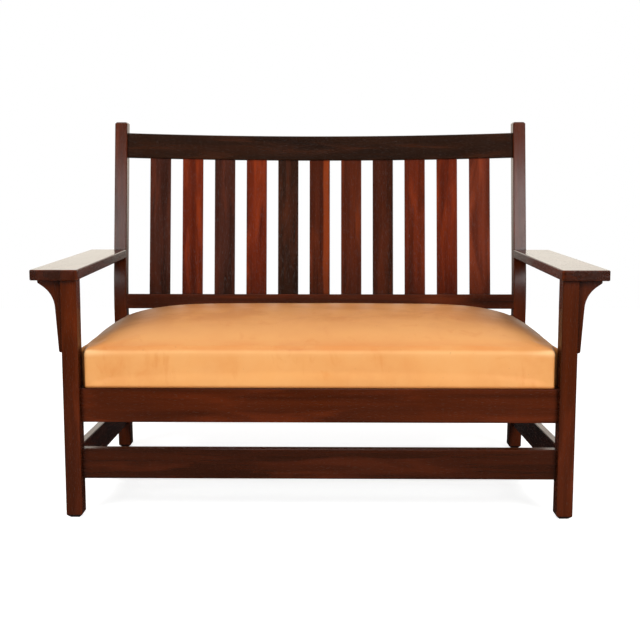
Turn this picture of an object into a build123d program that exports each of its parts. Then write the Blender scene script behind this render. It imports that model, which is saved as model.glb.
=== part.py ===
"""Mission settle: a slatted, bowed back, flat arms on corbels and a lift-out sprung seat.

Lengths are in millimetres and +Z is up. X runs along the settle and +Y runs from front to back.
While the pieces are made, Y = 0 is the front face of the front legs. At the end the whole
settle is moved so that its origin is the middle of its footprint, on the floor.
"""
from build123d import *
from dataclasses import dataclass
from math import asin, atan, cos, pi, radians, sin, sqrt, tan
import os

# Whole settle
leg_spread = 1270.0
post_height = 1021.0
arm_height = 629.5
post_foot_depth = 595.5

# Front legs
leg_size = 40.0
leg_arris = 2.0
foot_bevel = 9.0
leg_tenon_size = 22.0
leg_tenon_reach = 16.0

# Rear posts, which kick back below the seat and lean back above it
post_width = 38.0
post_depth = 38.0
post_foot_bevel = 9.0
post_top_bevel = 5.0
bend_height = 485.0
bend_radius = 850.0
kick_angle = 2.8
rake_angle = 8.0

# Arms
arm_thickness = 26.0
arm_arris = 2.0
arm_reach_front = 11.5
arm_reach_side = 70.5
arm_reach_inside = 6.0
arm_inner_round = 9.0
arm_outer_round = 4.0
arm_tenon_width = 26.0
arm_tenon_height = 12.0
arm_tenon_reach = 15.0

# Corbels under the arms
corbel_thickness = 22.0
corbel_height = 181.5
corbel_reach = 57.5
corbel_nose = 7.5
corbel_nose_round = 5.0
corbel_waist_reach = 17.6
corbel_waist_drop = 35.8
corbel_sweep_radius = 68.0
corbel_foot_reach = 8.5
corbel_foot_round = 5.0
corbel_edge_round = 1.0

# Seat rails and stretchers
seat_rail_bottom = 243.5
seat_rail_top = 330.0
stretcher_bottom = 98.5
stretcher_top = 175.5
side_stretcher_drop = 21.0
front_rail_thickness = 22.0
front_rail_setback = 15.5
side_rail_thickness = 20.0
rear_rail_thickness = 20.0
rear_rail_setback = 8.0
rail_arris = 1.5

# Bowed back
crest_bottom = 915.0
crest_top = 989.0
lower_rail_bottom = 449.5
lower_rail_top = 494.0
back_rail_thickness = 22.0
back_rail_setback = 8.0
back_bow = 57.5
back_tenon_reach = 20.0
slat_count = 11
slat_width = 64.0
slat_thickness = 10.0
slat_arris = 0.8
slat_end_gap = 66.7
slat_tenon_reach = 12.0

# Mortise and tenon joints
tenon_thickness_share = 0.5
tenon_shoulder = 8.0
side_tenon_reach = 24.0
mortise_relief = 1.0
mortise_wall = 0.5

# Support strips, corner blocks and what fastens them
cleat_width = 45.0
cleat_height = 25.0
block_leg = 60.0
block_height = 48.0
screw_shank_radius = 2.2
screw_head_radius = 4.2
screw_head_height = 2.6
screw_recess = 6.0
screw_bite = 13.0
cleat_screw_margin = 70.0
side_cleat_screws = 3
rear_cleat_screws = 4
dowel_radius = 4.0
dowel_depth = 12.0
dowel_margin = 12.0
dowel_spacing = 30.0
bar_sides = 10
fit_gap = 0.1
hole_relief = 1.0

# Lift-out seat: the cover's outline
seat_gap = 0.3
seat_end_lap = 7.0
seat_leg_gap = 10.0
seat_leg_gap_behind = 3.5
seat_back_gap = 2.7
seat_edge_height = 99.5
seat_rear_edge_height = 100.0
seat_end_height = 95.5
seat_crown_height = 168.5
seat_front_round = 10.0
seat_corner_round = 9.0
seat_shoulder_round = 25.0
crown_power = 6.0
crown_station_shares = (0.0, 0.5, 0.7, 0.82, 0.9)
shoulder_station_degrees = (0.0, 25.0, 48.0, 70.0, 90.0)

# Lift-out seat: what it is built of
leather_thickness = 2.0
leather_turn_under = 22.0
dust_cover_thickness = 1.0
dust_cover_margin = 12.0
padding_wall = 10.0
frame_thickness = 20.0
frame_height = 78.0
brace_height = 30.0
webbing_width = 50.0
webbing_thickness = 1.0
webbing_margin = 0.5
burlap_thickness = 1.0
spring_columns = 5
spring_rows = 3
spring_turns = 4
spring_sides = 8
spring_wire = 3.6
spring_end_radius = 34.0
spring_waist_radius = 24.0

# Places that several pieces share
leg_outer = leg_spread / 2
leg_inner = leg_outer - leg_size
post_inner = leg_outer - post_width
arm_bottom = arm_height - arm_thickness
kick = radians(kick_angle)
rake = radians(rake_angle)
bend_y = post_foot_depth - bend_height * tan(kick)
side_x0 = leg_outer - leg_size / 2 - side_rail_thickness / 2
side_x1 = side_x0 + side_rail_thickness
side_tenon_inset = side_rail_thickness * (1 - tenon_thickness_share) / 2
front_tenon_reach = side_x0 + side_tenon_inset - leg_inner - mortise_relief - mortise_wall
rear_tenon_reach = side_x0 + side_tenon_inset - post_inner - mortise_relief - mortise_wall
bow_radius = (post_inner ** 2 + back_bow ** 2) / (2 * back_bow)
slat_pitch = (2 * post_inner - 2 * slat_end_gap - slat_width) / (slat_count - 1)
cleat_inner = side_x0 - cleat_width
cleat_bottom = seat_rail_top - cleat_height


def block(x0, x1, y0, y1, z0, z1):
    """Rectangular piece between two opposite corners."""
    centre = Pos((x0 + x1) / 2, (y0 + y1) / 2, (z0 + z1) / 2)
    return centre * Box(x1 - x0, y1 - y0, z1 - z0)


def mirrored(piece):
    """The same piece for the other end of the settle."""
    return mirror(piece, about=Plane.YZ)


def sawn_sideways(points, x0, x1):
    """A piece sawn to an outline seen from the side, between two places along the settle."""
    outline = make_face(Plane.YZ.offset(x0) * Polyline(*points, close=True))
    return extrude(outline, amount=x1 - x0, dir=(1, 0, 0))


def post_front(z):
    """How far back the front face of a rear post is at height z, away from its bend."""
    if z < bend_height:
        return post_foot_depth - z * tan(kick)
    return bend_y + (z - bend_height) * tan(rake)


def post_front_at_bend():
    """The foremost place of a rear post's front face, on the arc of its bend."""
    share = (cos(kick) + cos(rake)) / (1 + cos(kick + rake)) - 1
    return bend_y + bend_radius * share


def faceted_bar(radius, z0, z1):
    """A round bar along Z, worked to a few flat sides."""
    return Pos(0, 0, z0) * extrude(RegularPolygon(radius, bar_sides), amount=z1 - z0)


@dataclass
class LongRail:
    """A rail along the settle, with a tenon at each end."""

    half_span: float
    reach: float
    y0: float
    thickness: float
    z0: float
    z1: float

    def tenon(self, relief=0.0):
        """The core that runs through the rail into both mortises."""
        inset = self.thickness * (1 - tenon_thickness_share) / 2
        end = self.half_span + self.reach + relief
        return block(-end, end, self.y0 + inset, self.y0 + self.thickness - inset,
                     self.z0 + tenon_shoulder, self.z1 - tenon_shoulder)

    def solid(self):
        """The rail with eased arrises and both tenons."""
        body = block(-self.half_span, self.half_span, self.y0, self.y0 + self.thickness,
                     self.z0, self.z1)
        body = chamfer(body.edges().filter_by(Axis.X), rail_arris)
        return body + self.tenon()


@dataclass
class SideRail:
    """A rail from a front leg to a rear post, level or sloping down to the back."""

    z0: float
    z1: float
    drop: float

    def slope(self):
        """Rise for each unit of depth."""
        return -self.drop / (post_foot_depth - leg_size)

    def height_at(self, y, z):
        """Height at depth y of the edge that meets the leg at height z."""
        return z + self.slope() * (y - leg_size)

    def meets_post(self, z):
        """Depth at which the edge that leaves the leg at height z meets the post."""
        lean = tan(kick)
        return (post_foot_depth - lean * (z - self.slope() * leg_size)) / (1 + lean * self.slope())

    def tenon(self, relief=0.0):
        """The core that runs through the rail into both mortises."""
        front = leg_size - side_tenon_reach - relief
        back = self.meets_post(self.z1) + side_tenon_reach + relief
        low = self.z0 + tenon_shoulder
        high = self.z1 - tenon_shoulder
        points = [(front, self.height_at(front, low)), (back, self.height_at(back, low)),
                  (back, self.height_at(back, high)), (front, self.height_at(front, high))]
        return sawn_sideways(points, side_x0 + side_tenon_inset, side_x1 - side_tenon_inset)

    def solid(self):
        """The rail, cut to the lean of the post's face, with both tenons."""
        low_end = self.meets_post(self.z0)
        high_end = self.meets_post(self.z1)
        points = [(leg_size, self.z0), (low_end, self.height_at(low_end, self.z0)),
                  (high_end, self.height_at(high_end, self.z1)), (leg_size, self.z1)]
        body = sawn_sideways(points, side_x0, side_x1)
        long_edges = body.edges().filter_by(lambda edge: edge.length > post_foot_depth / 2)
        return chamfer(long_edges, rail_arris) + self.tenon()


@dataclass
class Screw:
    """A round-head wood screw: where the underside of its head sits, and which way it points."""

    seat: tuple
    direction: tuple
    length: float

    def place(self):
        """Frame with its Z axis along the screw, towards the tip."""
        return Plane(origin=self.seat, z_dir=self.direction).location

    def solid(self):
        """Head and shank."""
        shank = faceted_bar(screw_shank_radius, 0, self.length)
        head = faceted_bar(screw_head_radius, -screw_head_height, 0)
        return self.place() * (shank + head)

    def hole(self):
        """Clearance for the shank, and the recess that the head sits in."""
        shank = faceted_bar(screw_shank_radius + fit_gap, 0, self.length + hole_relief)
        recess = faceted_bar(screw_head_radius + fit_gap, -block_leg, 0)
        return self.place() * (shank + recess)


@dataclass
class Dowel:
    """A round wooden pin across a joint, half in each of two pieces."""

    middle: tuple
    direction: tuple

    def bar(self, radius, depth):
        """Bar along the pin, equally deep in both pieces."""
        place = Plane(origin=self.middle, z_dir=self.direction).location
        return place * faceted_bar(radius, -depth, depth)

    def solid(self):
        """The pin."""
        return self.bar(dowel_radius, dowel_depth)

    def hole(self):
        """The bore for the pin in both pieces."""
        return self.bar(dowel_radius + fit_gap, dowel_depth + hole_relief)


front_rail = LongRail(leg_inner, front_tenon_reach, front_rail_setback, front_rail_thickness,
                      seat_rail_bottom, seat_rail_top)
front_bar = LongRail(leg_inner, front_tenon_reach, front_rail_setback, front_rail_thickness,
                     stretcher_bottom, stretcher_top)
rear_rail_y = post_front((seat_rail_bottom + seat_rail_top) / 2) + rear_rail_setback
rear_rail = LongRail(post_inner, rear_tenon_reach, rear_rail_y, rear_rail_thickness,
                     seat_rail_bottom, seat_rail_top)
rear_bar_y = post_front((stretcher_bottom + stretcher_top) / 2) + rear_rail_setback
rear_bar = LongRail(post_inner, rear_tenon_reach, rear_bar_y, rear_rail_thickness,
                    stretcher_bottom, stretcher_top)
side_rail = SideRail(seat_rail_bottom, seat_rail_top, 0.0)
side_bar = SideRail(stretcher_bottom, stretcher_top, side_stretcher_drop)

# The back is worked upright, then leaned: Z runs up the rake, and Y squarely back from it
back_place = Pos(0, bend_y, bend_height) * Rot(-rake_angle, 0, 0)


def up_the_rake(z):
    """Distance from the bend up the leaning back to height z."""
    return (z - bend_height) / cos(rake)


def bow_depth(radius_growth, x):
    """How far behind the posts' faces an arc of the bow lies at x."""
    radius = bow_radius + radius_growth
    return back_rail_setback - (bow_radius - back_bow) + sqrt(radius ** 2 - x ** 2)


def bowed_band(z0, z1):
    """Upright bowed board between the posts, from z0 to z1."""
    front_end = bow_depth(0.0, post_inner)
    back_end = bow_depth(back_rail_thickness, post_inner)
    front = ThreePointArc((-post_inner, front_end), (0, bow_depth(0.0, 0.0)),
                          (post_inner, front_end))
    back = ThreePointArc((post_inner, back_end), (0, bow_depth(back_rail_thickness, 0.0)),
                         (-post_inner, back_end))
    right = Line((post_inner, front_end), (post_inner, back_end))
    left = Line((-post_inner, back_end), (-post_inner, front_end))
    band = extrude(Pos(0, 0, z0) * make_face(front + right + back + left), amount=z1 - z0)
    long_edges = band.edges().filter_by(lambda edge: edge.length > post_inner)
    return chamfer(long_edges, rail_arris)


def slat_blank(index, z0, z1, eased):
    """One slat, flat and square to the bow, from z0 to z1 up the rake."""
    x = (index - (slat_count - 1) / 2) * slat_pitch
    middle = back_rail_thickness / 2
    turn = asin(x / (bow_radius + middle))
    blank = Box(slat_width, slat_thickness, z1 - z0, align=(Align.CENTER, Align.CENTER, Align.MIN))
    if eased:
        blank = chamfer(blank.edges().filter_by(Axis.Z), slat_arris)
    return Pos(x, bow_depth(middle, x), z0) * Rot(0, 0, -turn * 180 / pi) * blank


def slat_mortises():
    """What the slats need taken out of both bowed rails."""
    reach = slat_tenon_reach + mortise_relief
    z0 = up_the_rake(lower_rail_top) - reach
    z1 = up_the_rake(crest_bottom) + reach
    return [slat_blank(index, z0, z1, False) for index in range(slat_count)]


def back_rail(z0, z1):
    """A bowed rail with mortises for the slats and a straight tenon at each end."""
    low, high = up_the_rake(z0), up_the_rake(z1)
    return back_place * (bowed_band(low, high) + back_rail_tenon(low, high) - slat_mortises())


def back_rail_tenon(low, high, relief=0.0):
    """The two straight tenons of a bowed rail, square to the posts' inner faces."""
    inset = back_rail_thickness * (1 - tenon_thickness_share) / 2
    y0 = back_rail_setback + inset
    y1 = back_rail_setback + back_rail_thickness - inset
    end = post_inner + back_tenon_reach + relief
    tenon = block(post_inner, end, y0, y1, low + tenon_shoulder, high - tenon_shoulder)
    return tenon + mirrored(tenon)


def back_slat(index):
    """A slat with its ends let into both rails."""
    z0 = up_the_rake(lower_rail_top) - slat_tenon_reach
    z1 = up_the_rake(crest_bottom) + slat_tenon_reach
    return back_place * slat_blank(index, z0, z1, True)


def corbel_dowels():
    """Pins from the right corbel into its leg and into the arm above it."""
    y = leg_size / 2
    high = arm_bottom - dowel_margin
    return [Dowel((leg_outer, y, high), (1, 0, 0)),
            Dowel((leg_outer, y, high - dowel_spacing), (1, 0, 0)),
            Dowel((leg_outer + dowel_spacing, y, arm_bottom), (0, 0, 1))]


def leg_top_tenon(relief=0.0):
    """The stub on top of the right front leg that the arm sits over."""
    middle = leg_outer - leg_size / 2
    half = leg_tenon_size / 2
    return block(middle - half, middle + half, leg_size / 2 - half, leg_size / 2 + half,
                 arm_bottom, arm_bottom + leg_tenon_reach + relief)


def front_leg():
    """The right front leg, mortised for its rails and bevelled at the foot."""
    leg = block(leg_inner, leg_outer, 0, leg_size, 0, arm_bottom)
    leg = chamfer(leg.edges().group_by(Axis.Z)[0], foot_bevel)
    upright = leg.edges().filter_by(Axis.Z)
    leg = chamfer(upright, leg_arris) + leg_top_tenon()
    for rail in (front_rail, front_bar, side_rail, side_bar):
        leg -= rail.tenon(mortise_relief)
    for dowel in corbel_dowels():
        leg -= dowel.hole()
    return leg


def arm_tenon(relief=0.0):
    """The stub at the rear of the right arm that enters the post."""
    middle_x = leg_outer - post_width / 2
    middle_z = arm_height - arm_thickness / 2
    face = post_front(arm_bottom)
    return block(middle_x - arm_tenon_width / 2, middle_x + arm_tenon_width / 2,
                 face - arm_tenon_reach, face + arm_tenon_reach + relief,
                 middle_z - arm_tenon_height / 2, middle_z + arm_tenon_height / 2)


def rear_post():
    """The right rear post, sawn to its bend and mortised for all it carries."""
    top = (post_front(post_height), post_height)
    front = FilletPolyline((post_foot_depth, 0), (bend_y, bend_height), top, radius=bend_radius)
    back = Pos(post_depth, 0, 0) * front
    ends = Line(front @ 0, back @ 0) + Line(front @ 1, back @ 1)
    outline = make_face(Plane.YZ.offset(post_inner) * (front + back + ends))
    post = extrude(outline, amount=post_width, dir=(1, 0, 0))
    post = chamfer(post.edges().group_by(Axis.Z)[0], post_foot_bevel)
    post = chamfer(post.edges().group_by(Axis.Z)[-1], post_top_bevel)
    post = chamfer(post.edges().filter_by(lambda edge: edge.length > 2 * post_width), leg_arris)
    for rail in (rear_rail, rear_bar, side_rail, side_bar):
        post -= rail.tenon(mortise_relief)
    for z0, z1 in ((crest_bottom, crest_top), (lower_rail_bottom, lower_rail_top)):
        post -= back_place * back_rail_tenon(up_the_rake(z0), up_the_rake(z1), mortise_relief)
    return post - arm_tenon(mortise_relief)


def arm():
    """The right arm: tapered on its inner edge and cut to the lean of the post."""
    front = -arm_reach_front
    outer = leg_outer + arm_reach_side
    back = post_front(arm_height) + arm_thickness
    taper = arm_reach_inside / (post_front(arm_height) + arm_reach_front)
    inner_front = leg_inner - arm_reach_inside
    inner_back = inner_front + (post_inner - inner_front) * (back - front) / (
        post_front(arm_height) - front)
    corners = [(inner_front, front), (outer, front), (outer, back), (inner_back, back)]
    plan = make_face(Polyline(*corners, close=True))
    plan = fillet(plan.vertices().sort_by_distance(corners[0])[0], arm_inner_round)
    plan = fillet(plan.vertices().sort_by_distance(corners[1])[0], arm_outer_round)
    board = extrude(Pos(0, 0, arm_bottom) * plan, amount=arm_thickness)
    rims = board.edges().group_by(Axis.Z)
    board = chamfer(rims[-1] + rims[0], arm_arris)
    behind = [(post_front(arm_bottom), arm_bottom), (post_front(arm_height), arm_height),
              (back + arm_thickness, arm_height), (back + arm_thickness, arm_bottom)]
    board -= sawn_sideways(behind, 0, outer + arm_thickness)
    board = board + arm_tenon() - leg_top_tenon(mortise_relief)
    for dowel in corbel_dowels():
        board -= dowel.hole()
    return board


def corbel():
    """The right corbel: a nose under the arm, a deep sweep and a long taper down the leg."""
    face = Plane(origin=(leg_outer, (leg_size - corbel_thickness) / 2, arm_bottom),
                 x_dir=(1, 0, 0), z_dir=(0, -1, 0))
    edge = FilletPolyline(
        (0, 0), (corbel_reach, 0), (corbel_reach, -corbel_nose),
        (corbel_waist_reach, -corbel_waist_drop), (corbel_foot_reach, -corbel_height),
        (0, -corbel_height),
        radius=[corbel_edge_round, corbel_nose_round, corbel_sweep_radius, corbel_foot_round])
    outline = make_face(face * (edge + Line(edge @ 1, edge @ 0)))
    piece = extrude(outline, amount=corbel_thickness, dir=(0, 1, 0))
    for dowel in corbel_dowels():
        piece -= dowel.hole()
    return piece


def block_screws(corner_y, wall_y, inner, toward_back):
    """Two screws that hold a right corner block to its long rail and its side rail."""
    z = cleat_bottom - block_height / 2
    step = 1 if toward_back else -1
    along_x = inner - block_leg / 2
    along_y = corner_y + step * block_leg / 2
    length = screw_recess + screw_bite
    return [Screw((along_x, wall_y + step * screw_recess, z), (0, -step, 0), length),
            Screw((side_x0 - screw_recess, along_y, z), (1, 0, 0), length)]


def front_block_screws():
    """Screws of the right front corner block."""
    wall = front_rail_setback + front_rail_thickness
    return block_screws(leg_size, wall, leg_inner, True)


def rear_block_screws():
    """Screws of the right rear corner block."""
    return block_screws(post_front(cleat_bottom), rear_rail_y, post_inner, False)


def corner_block(corner_y, wall_y, inner, toward_back, screws):
    """A right corner block, notched round the leg or post and screwed to both rails."""
    step = 1 if toward_back else -1
    corners = [(inner - block_leg, wall_y), (inner, wall_y), (inner, corner_y),
               (side_x0, corner_y), (side_x0, corner_y + step * block_leg)]
    plan = make_face(Pos(0, 0, cleat_bottom - block_height) * Polyline(*corners, close=True))
    piece = extrude(plan, amount=block_height, dir=(0, 0, 1))
    for screw in screws:
        piece -= screw.hole()
    return piece


def front_corner_block():
    """The right front corner block."""
    wall = front_rail_setback + front_rail_thickness
    return corner_block(leg_size, wall, leg_inner, True, front_block_screws())


def rear_corner_block():
    """The right rear corner block."""
    return corner_block(post_front(cleat_bottom), rear_rail_y, post_inner, False,
                        rear_block_screws())


def spread_evenly(first, last, count):
    """Places from first to last, evenly apart."""
    return [first + (last - first) * index / (count - 1) for index in range(count)]


def side_cleat_screw_row():
    """Screws through the right support strip into its side rail."""
    z = seat_rail_top - cleat_height / 2
    places = spread_evenly(leg_size + cleat_screw_margin,
                           post_front(seat_rail_top) - cleat_screw_margin, side_cleat_screws)
    seat = side_x0 - cleat_width / 2
    length = cleat_width / 2 + screw_bite
    return [Screw((seat, y, z), (1, 0, 0), length) for y in places]


def rear_cleat_screw_row():
    """Screws through the rear support strip into the rear seat rail."""
    z = seat_rail_top - cleat_height / 2
    places = spread_evenly(cleat_screw_margin - cleat_inner, cleat_inner - cleat_screw_margin,
                           rear_cleat_screws)
    seat = rear_rail_y - cleat_width / 2
    length = cleat_width / 2 + screw_bite
    return [Screw((x, seat, z), (0, 1, 0), length) for x in places]


def bored(piece, screws):
    """A piece with the holes of its screws."""
    for screw in screws:
        piece -= screw.hole()
    return piece


def side_cleat():
    """The right support strip that the seat's end rests on."""
    strip = block(cleat_inner, side_x0, leg_size, post_front(seat_rail_top),
                  cleat_bottom, seat_rail_top)
    return bored(strip, side_cleat_screw_row())


def rear_cleat():
    """The support strip that the seat's rear rests on."""
    strip = block(-cleat_inner, cleat_inner, rear_rail_y - cleat_width, rear_rail_y,
                  cleat_bottom, seat_rail_top)
    return bored(strip, rear_cleat_screw_row())


# The lift-out seat laps over the side rails, and is cut back round both front legs
seat_half = side_x0 + seat_end_lap
lower_rail_front = (bend_y + up_the_rake(lower_rail_bottom) * sin(rake)
                    + back_rail_setback * cos(rake))
seat_front = front_rail_setback
seat_rear = min(post_front_at_bend(), lower_rail_front) - seat_back_gap
seat_base = seat_rail_top + seat_gap
cover_base = seat_base + dust_cover_thickness
frame_base = cover_base + leather_thickness
frame_top = frame_base + frame_height
frame_inset = leather_thickness + padding_wall
frame_half = seat_half - frame_inset
frame_inner = leg_inner - seat_leg_gap - frame_inset - frame_thickness
frame_front = seat_front + frame_inset
frame_rear = seat_rear - frame_inset


def notched_plan(inset, z0, z1):
    """Upright block with the seat's outline, drawn in by inset, from z0 to z1."""
    side = leg_inner - seat_leg_gap - inset
    step = leg_size + seat_leg_gap_behind + inset
    half, rear = seat_half - inset, seat_rear - inset
    right = [(side, seat_front + inset), (side, step), (half, step), (half, rear)]
    left = [(-x, y) for x, y in reversed(right)]
    plan = make_face(Polyline(*right, *left, close=True))
    radius = seat_corner_round - inset
    if radius > 0:
        hollow = [(side, step), (-side, step)]
        corners = [v for v in plan.vertices() if (v.X, v.Y) not in hollow]
        plan = fillet(corners, radius)
    return extrude(Pos(0, 0, z0) * plan, amount=z1 - z0)


def rounding(radius, distance):
    """How far a rounded edge has drawn in, at a distance from its end face."""
    if distance >= radius:
        return 0.0
    return radius - sqrt(radius ** 2 - (radius - distance) ** 2)


def cushion_section(x, inset):
    """Upright section of the cushion at x: flat base, two walls and a crowned top."""
    drop = rounding(seat_shoulder_round, seat_half - abs(x)) + inset
    swell = 1 - (abs(x) / seat_half) ** crown_power
    front, rear = seat_front + inset, seat_rear - inset
    front_z = seat_base + seat_edge_height - drop
    rear_z = seat_base + seat_rear_edge_height - drop
    crown = seat_end_height + (seat_crown_height - seat_end_height) * swell
    crown_z = seat_base + crown - drop
    half = (rear - front) / 2
    front_slope = 2 * atan((crown_z - front_z) / half)
    rear_slope = 2 * atan((crown_z - rear_z) / half)
    turn = seat_front_round - inset
    front_low = (front, front_z - turn * cos(front_slope))
    front_high = (front + turn * (1 - sin(front_slope)), front_z)
    rear_low = (rear, rear_z - turn * cos(rear_slope))
    rear_high = (rear - turn * (1 - sin(rear_slope)), rear_z)
    base = cover_base + inset
    edge = Line((front, base), front_low)
    edge += TangentArc(front_low, front_high, tangent=(0, 1))
    edge += ThreePointArc(front_high, (front + half, crown_z), rear_high)
    edge += TangentArc(rear_low, rear_high, tangent=(0, 1))
    edge += Line(rear_low, (rear, base))
    edge += Line((rear, base), (front, base))
    return make_face(Plane.YZ.offset(x) * edge)


def cushion_stations(inset):
    """Places along the cushion where its section is set, close together at the ends."""
    turns = [radians(angle) for angle in shoulder_station_degrees]
    ends = [seat_half - seat_shoulder_round * (1 - sin(turn)) for turn in turns]
    crowns = [seat_half * share for share in crown_station_shares]
    right = [x for x in crowns + ends if x < seat_half - inset] + [seat_half - inset]
    return [-x for x in reversed(right[1:])] + right


def cushion_form(inset):
    """The whole cushion, or what it holds at a distance inside its cover."""
    crowned = loft([cushion_section(x, inset) for x in cushion_stations(inset)], ruled=True)
    return crowned & notched_plan(inset, seat_base, seat_base + seat_crown_height)


def seat_leather():
    """The cover: crowned top, four walls and a margin turned under the frame."""
    opening = notched_plan(leather_turn_under, seat_base, frame_base + leather_thickness)
    return cushion_form(0.0) - cushion_form(leather_thickness) - opening


def seat_padding():
    """The stuffing over the springs and down the outside of the frame."""
    core = notched_plan(frame_inset, seat_base, frame_top + burlap_thickness)
    return cushion_form(leather_thickness) - core


def seat_frame_rail(y0):
    """A long member of the seat's own frame, no longer than the seat's outline allows."""
    member = block(-frame_half, frame_half, y0, y0 + frame_thickness, frame_base, frame_top)
    return member & notched_plan(frame_inset, frame_base, frame_top)


def seat_frame_end():
    """The right end member of the seat's own frame, notched behind the front leg."""
    member = block(frame_inner, frame_half, frame_front + frame_thickness,
                   frame_rear - frame_thickness, frame_base, frame_top)
    return member & notched_plan(frame_inset, frame_base, frame_top)


def brace_places():
    """Places of the two cross braces, each one spring in from an end."""
    place = frame_inner * (1 - 2 / spring_columns)
    return [-place, place]


def seat_brace(x):
    """A cross brace of the seat's own frame, between two rows of springs."""
    return block(x - frame_thickness / 2, x + frame_thickness / 2,
                 frame_front + frame_thickness, frame_rear - frame_thickness,
                 frame_base, frame_base + brace_height)


def spring_grid():
    """Centres of the springs, one in each cell of the frame's opening."""
    front, rear = frame_front + frame_thickness, frame_rear - frame_thickness
    xs = [frame_inner * ((2 * column + 1) / spring_columns - 1) for column in range(spring_columns)]
    ys = [front + (rear - front) * (row + 0.5) / spring_rows for row in range(spring_rows)]
    return xs, ys


def webbing_lengthwise():
    """Strips along the seat, tacked under the frame's ends."""
    end = seat_half - leather_turn_under - webbing_margin
    top = frame_base
    return [block(-end, end, y - webbing_width / 2, y + webbing_width / 2,
                  top - webbing_thickness, top) for y in spring_grid()[1]]


def webbing_crosswise():
    """Strips from front to rear, under the lengthwise strips."""
    front = seat_front + leather_turn_under + webbing_margin
    rear = seat_rear - leather_turn_under - webbing_margin
    top = frame_base - webbing_thickness
    return [block(x - webbing_width / 2, x + webbing_width / 2, front, rear,
                  top - webbing_thickness, top) for x in spring_grid()[0]]


def spring():
    """A waisted coil from the webbing up to the burlap, on straight runs of square wire."""
    half_wire = spring_wire / sqrt(2)
    height = frame_height - 2 * half_wire
    count = spring_turns * spring_sides
    points = []
    for index in range(count + 1):
        share = index / count
        radius = spring_end_radius - (spring_end_radius - spring_waist_radius) * sin(pi * share)
        angle = 2 * pi * index / spring_sides
        points.append((radius * cos(angle), radius * sin(angle),
                       frame_base + half_wire + height * share))
    path = Polyline(*points)
    start = Plane(origin=points[0], z_dir=path % 0)
    return sweep(start * Rectangle(spring_wire, spring_wire), path=path,
                 transition=Transition.RIGHT)


def seat_springs():
    """All the springs, each standing on a crossing of the webbing."""
    coil = spring()
    xs, ys = spring_grid()
    return [Pos(x, y, 0) * coil for x in xs for y in ys]


def burlap():
    """The cloth tacked over the frame and tied to the spring tops."""
    return notched_plan(frame_inset, frame_top, frame_top + burlap_thickness)


def dust_cover():
    """The thin cloth under the seat."""
    return notched_plan(dust_cover_margin, seat_base, cover_base)


def settle_frame():
    """Every piece that stays where it is, by name."""
    pieces = {}
    right_and_left = {"front_leg": front_leg(), "rear_post": rear_post(), "arm": arm(),
                      "corbel": corbel(), "side_stretcher": side_bar.solid(),
                      "seat_cleat": side_cleat(), "front_corner_block": front_corner_block(),
                      "rear_corner_block": rear_corner_block()}
    side_screws = (front_block_screws()[1:] + rear_block_screws()[1:] + side_cleat_screw_row())
    right_and_left["side_seat_rail"] = bored(side_rail.solid(), side_screws)
    for name, piece in right_and_left.items():
        pieces[name + "_right"] = piece
        pieces[name + "_left"] = mirrored(piece)
    into_front = [screw.hole() for screw in front_block_screws()[:1]]
    pieces["front_seat_rail"] = front_rail.solid() - into_front - [mirrored(h) for h in into_front]
    into_rear = [screw.hole() for screw in rear_block_screws()[:1]]
    rear = bored(rear_rail.solid(), rear_cleat_screw_row())
    pieces["rear_seat_rail"] = rear - into_rear - [mirrored(h) for h in into_rear]
    pieces["front_stretcher"] = front_bar.solid()
    pieces["rear_stretcher"] = rear_bar.solid()
    pieces["seat_cleat_rear"] = rear_cleat()
    pieces["crest_rail"] = back_rail(crest_bottom, crest_top)
    pieces["lower_back_rail"] = back_rail(lower_rail_bottom, lower_rail_top)
    for index in range(slat_count):
        pieces[f"back_slat_{index + 1:02d}"] = back_slat(index)
    pieces.update(fastenings())
    return pieces


def fastenings():
    """Screws and dowels, each kind as one group."""
    corner = [screw.solid() for screw in front_block_screws() + rear_block_screws()]
    side = [screw.solid() for screw in side_cleat_screw_row()]
    rear = [screw.solid() for screw in rear_cleat_screw_row()]
    pins = [dowel.solid() for dowel in corbel_dowels()]
    return {"corner_block_screws": corner + [mirrored(s) for s in corner],
            "seat_cleat_screws": side + [mirrored(s) for s in side] + rear,
            "corbel_dowels": pins + [mirrored(p) for p in pins]}


def lift_out_seat():
    """Every piece that lifts out with the seat, by name."""
    end = seat_frame_end()
    pieces = {"seat_frame_front": seat_frame_rail(frame_front),
              "seat_frame_rear": seat_frame_rail(frame_rear - frame_thickness),
              "seat_frame_right": end, "seat_frame_left": mirrored(end),
              "webbing_lengthwise": webbing_lengthwise(),
              "webbing_crosswise": webbing_crosswise(), "seat_springs": seat_springs(),
              "seat_burlap": burlap(), "seat_padding": seat_padding(),
              "seat_leather": seat_leather(), "seat_dust_cover": dust_cover()}
    for number, x in enumerate(brace_places(), start=1):
        pieces[f"seat_brace_{number}"] = seat_brace(x)
    return pieces


def as_list(piece):
    """The separate solids of a piece or of a group of pieces."""
    members = piece if isinstance(piece, list) else [piece]
    return [solid for member in members for solid in member.solids()]


def main():
    """Build every piece, centre the settle on its footprint and write one file for each piece."""
    pieces = {**settle_frame(), **lift_out_seat()}
    solids = {name: as_list(piece) for name, piece in pieces.items()}
    box = Compound([solid for group in solids.values() for solid in group]).bounding_box()
    centring = Pos(0, -(box.min.Y + box.max.Y) / 2, 0)
    os.makedirs("parts", exist_ok=True)
    for name, group in solids.items():
        moved = [centring * solid for solid in group]
        export_step(moved[0] if len(moved) == 1 else Compound(moved), f"parts/{name}.step")
    print(f"{len(solids)} pieces, {box.size.X:.1f} x {box.size.Y:.1f} x {box.size.Z:.1f} mm,",
          f"moved {centring.position.Y:.3f} mm in depth")


main()
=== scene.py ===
"""A slatted settle with a leather seat: finishes, upholstery and small hardware on its frame."""

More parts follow.
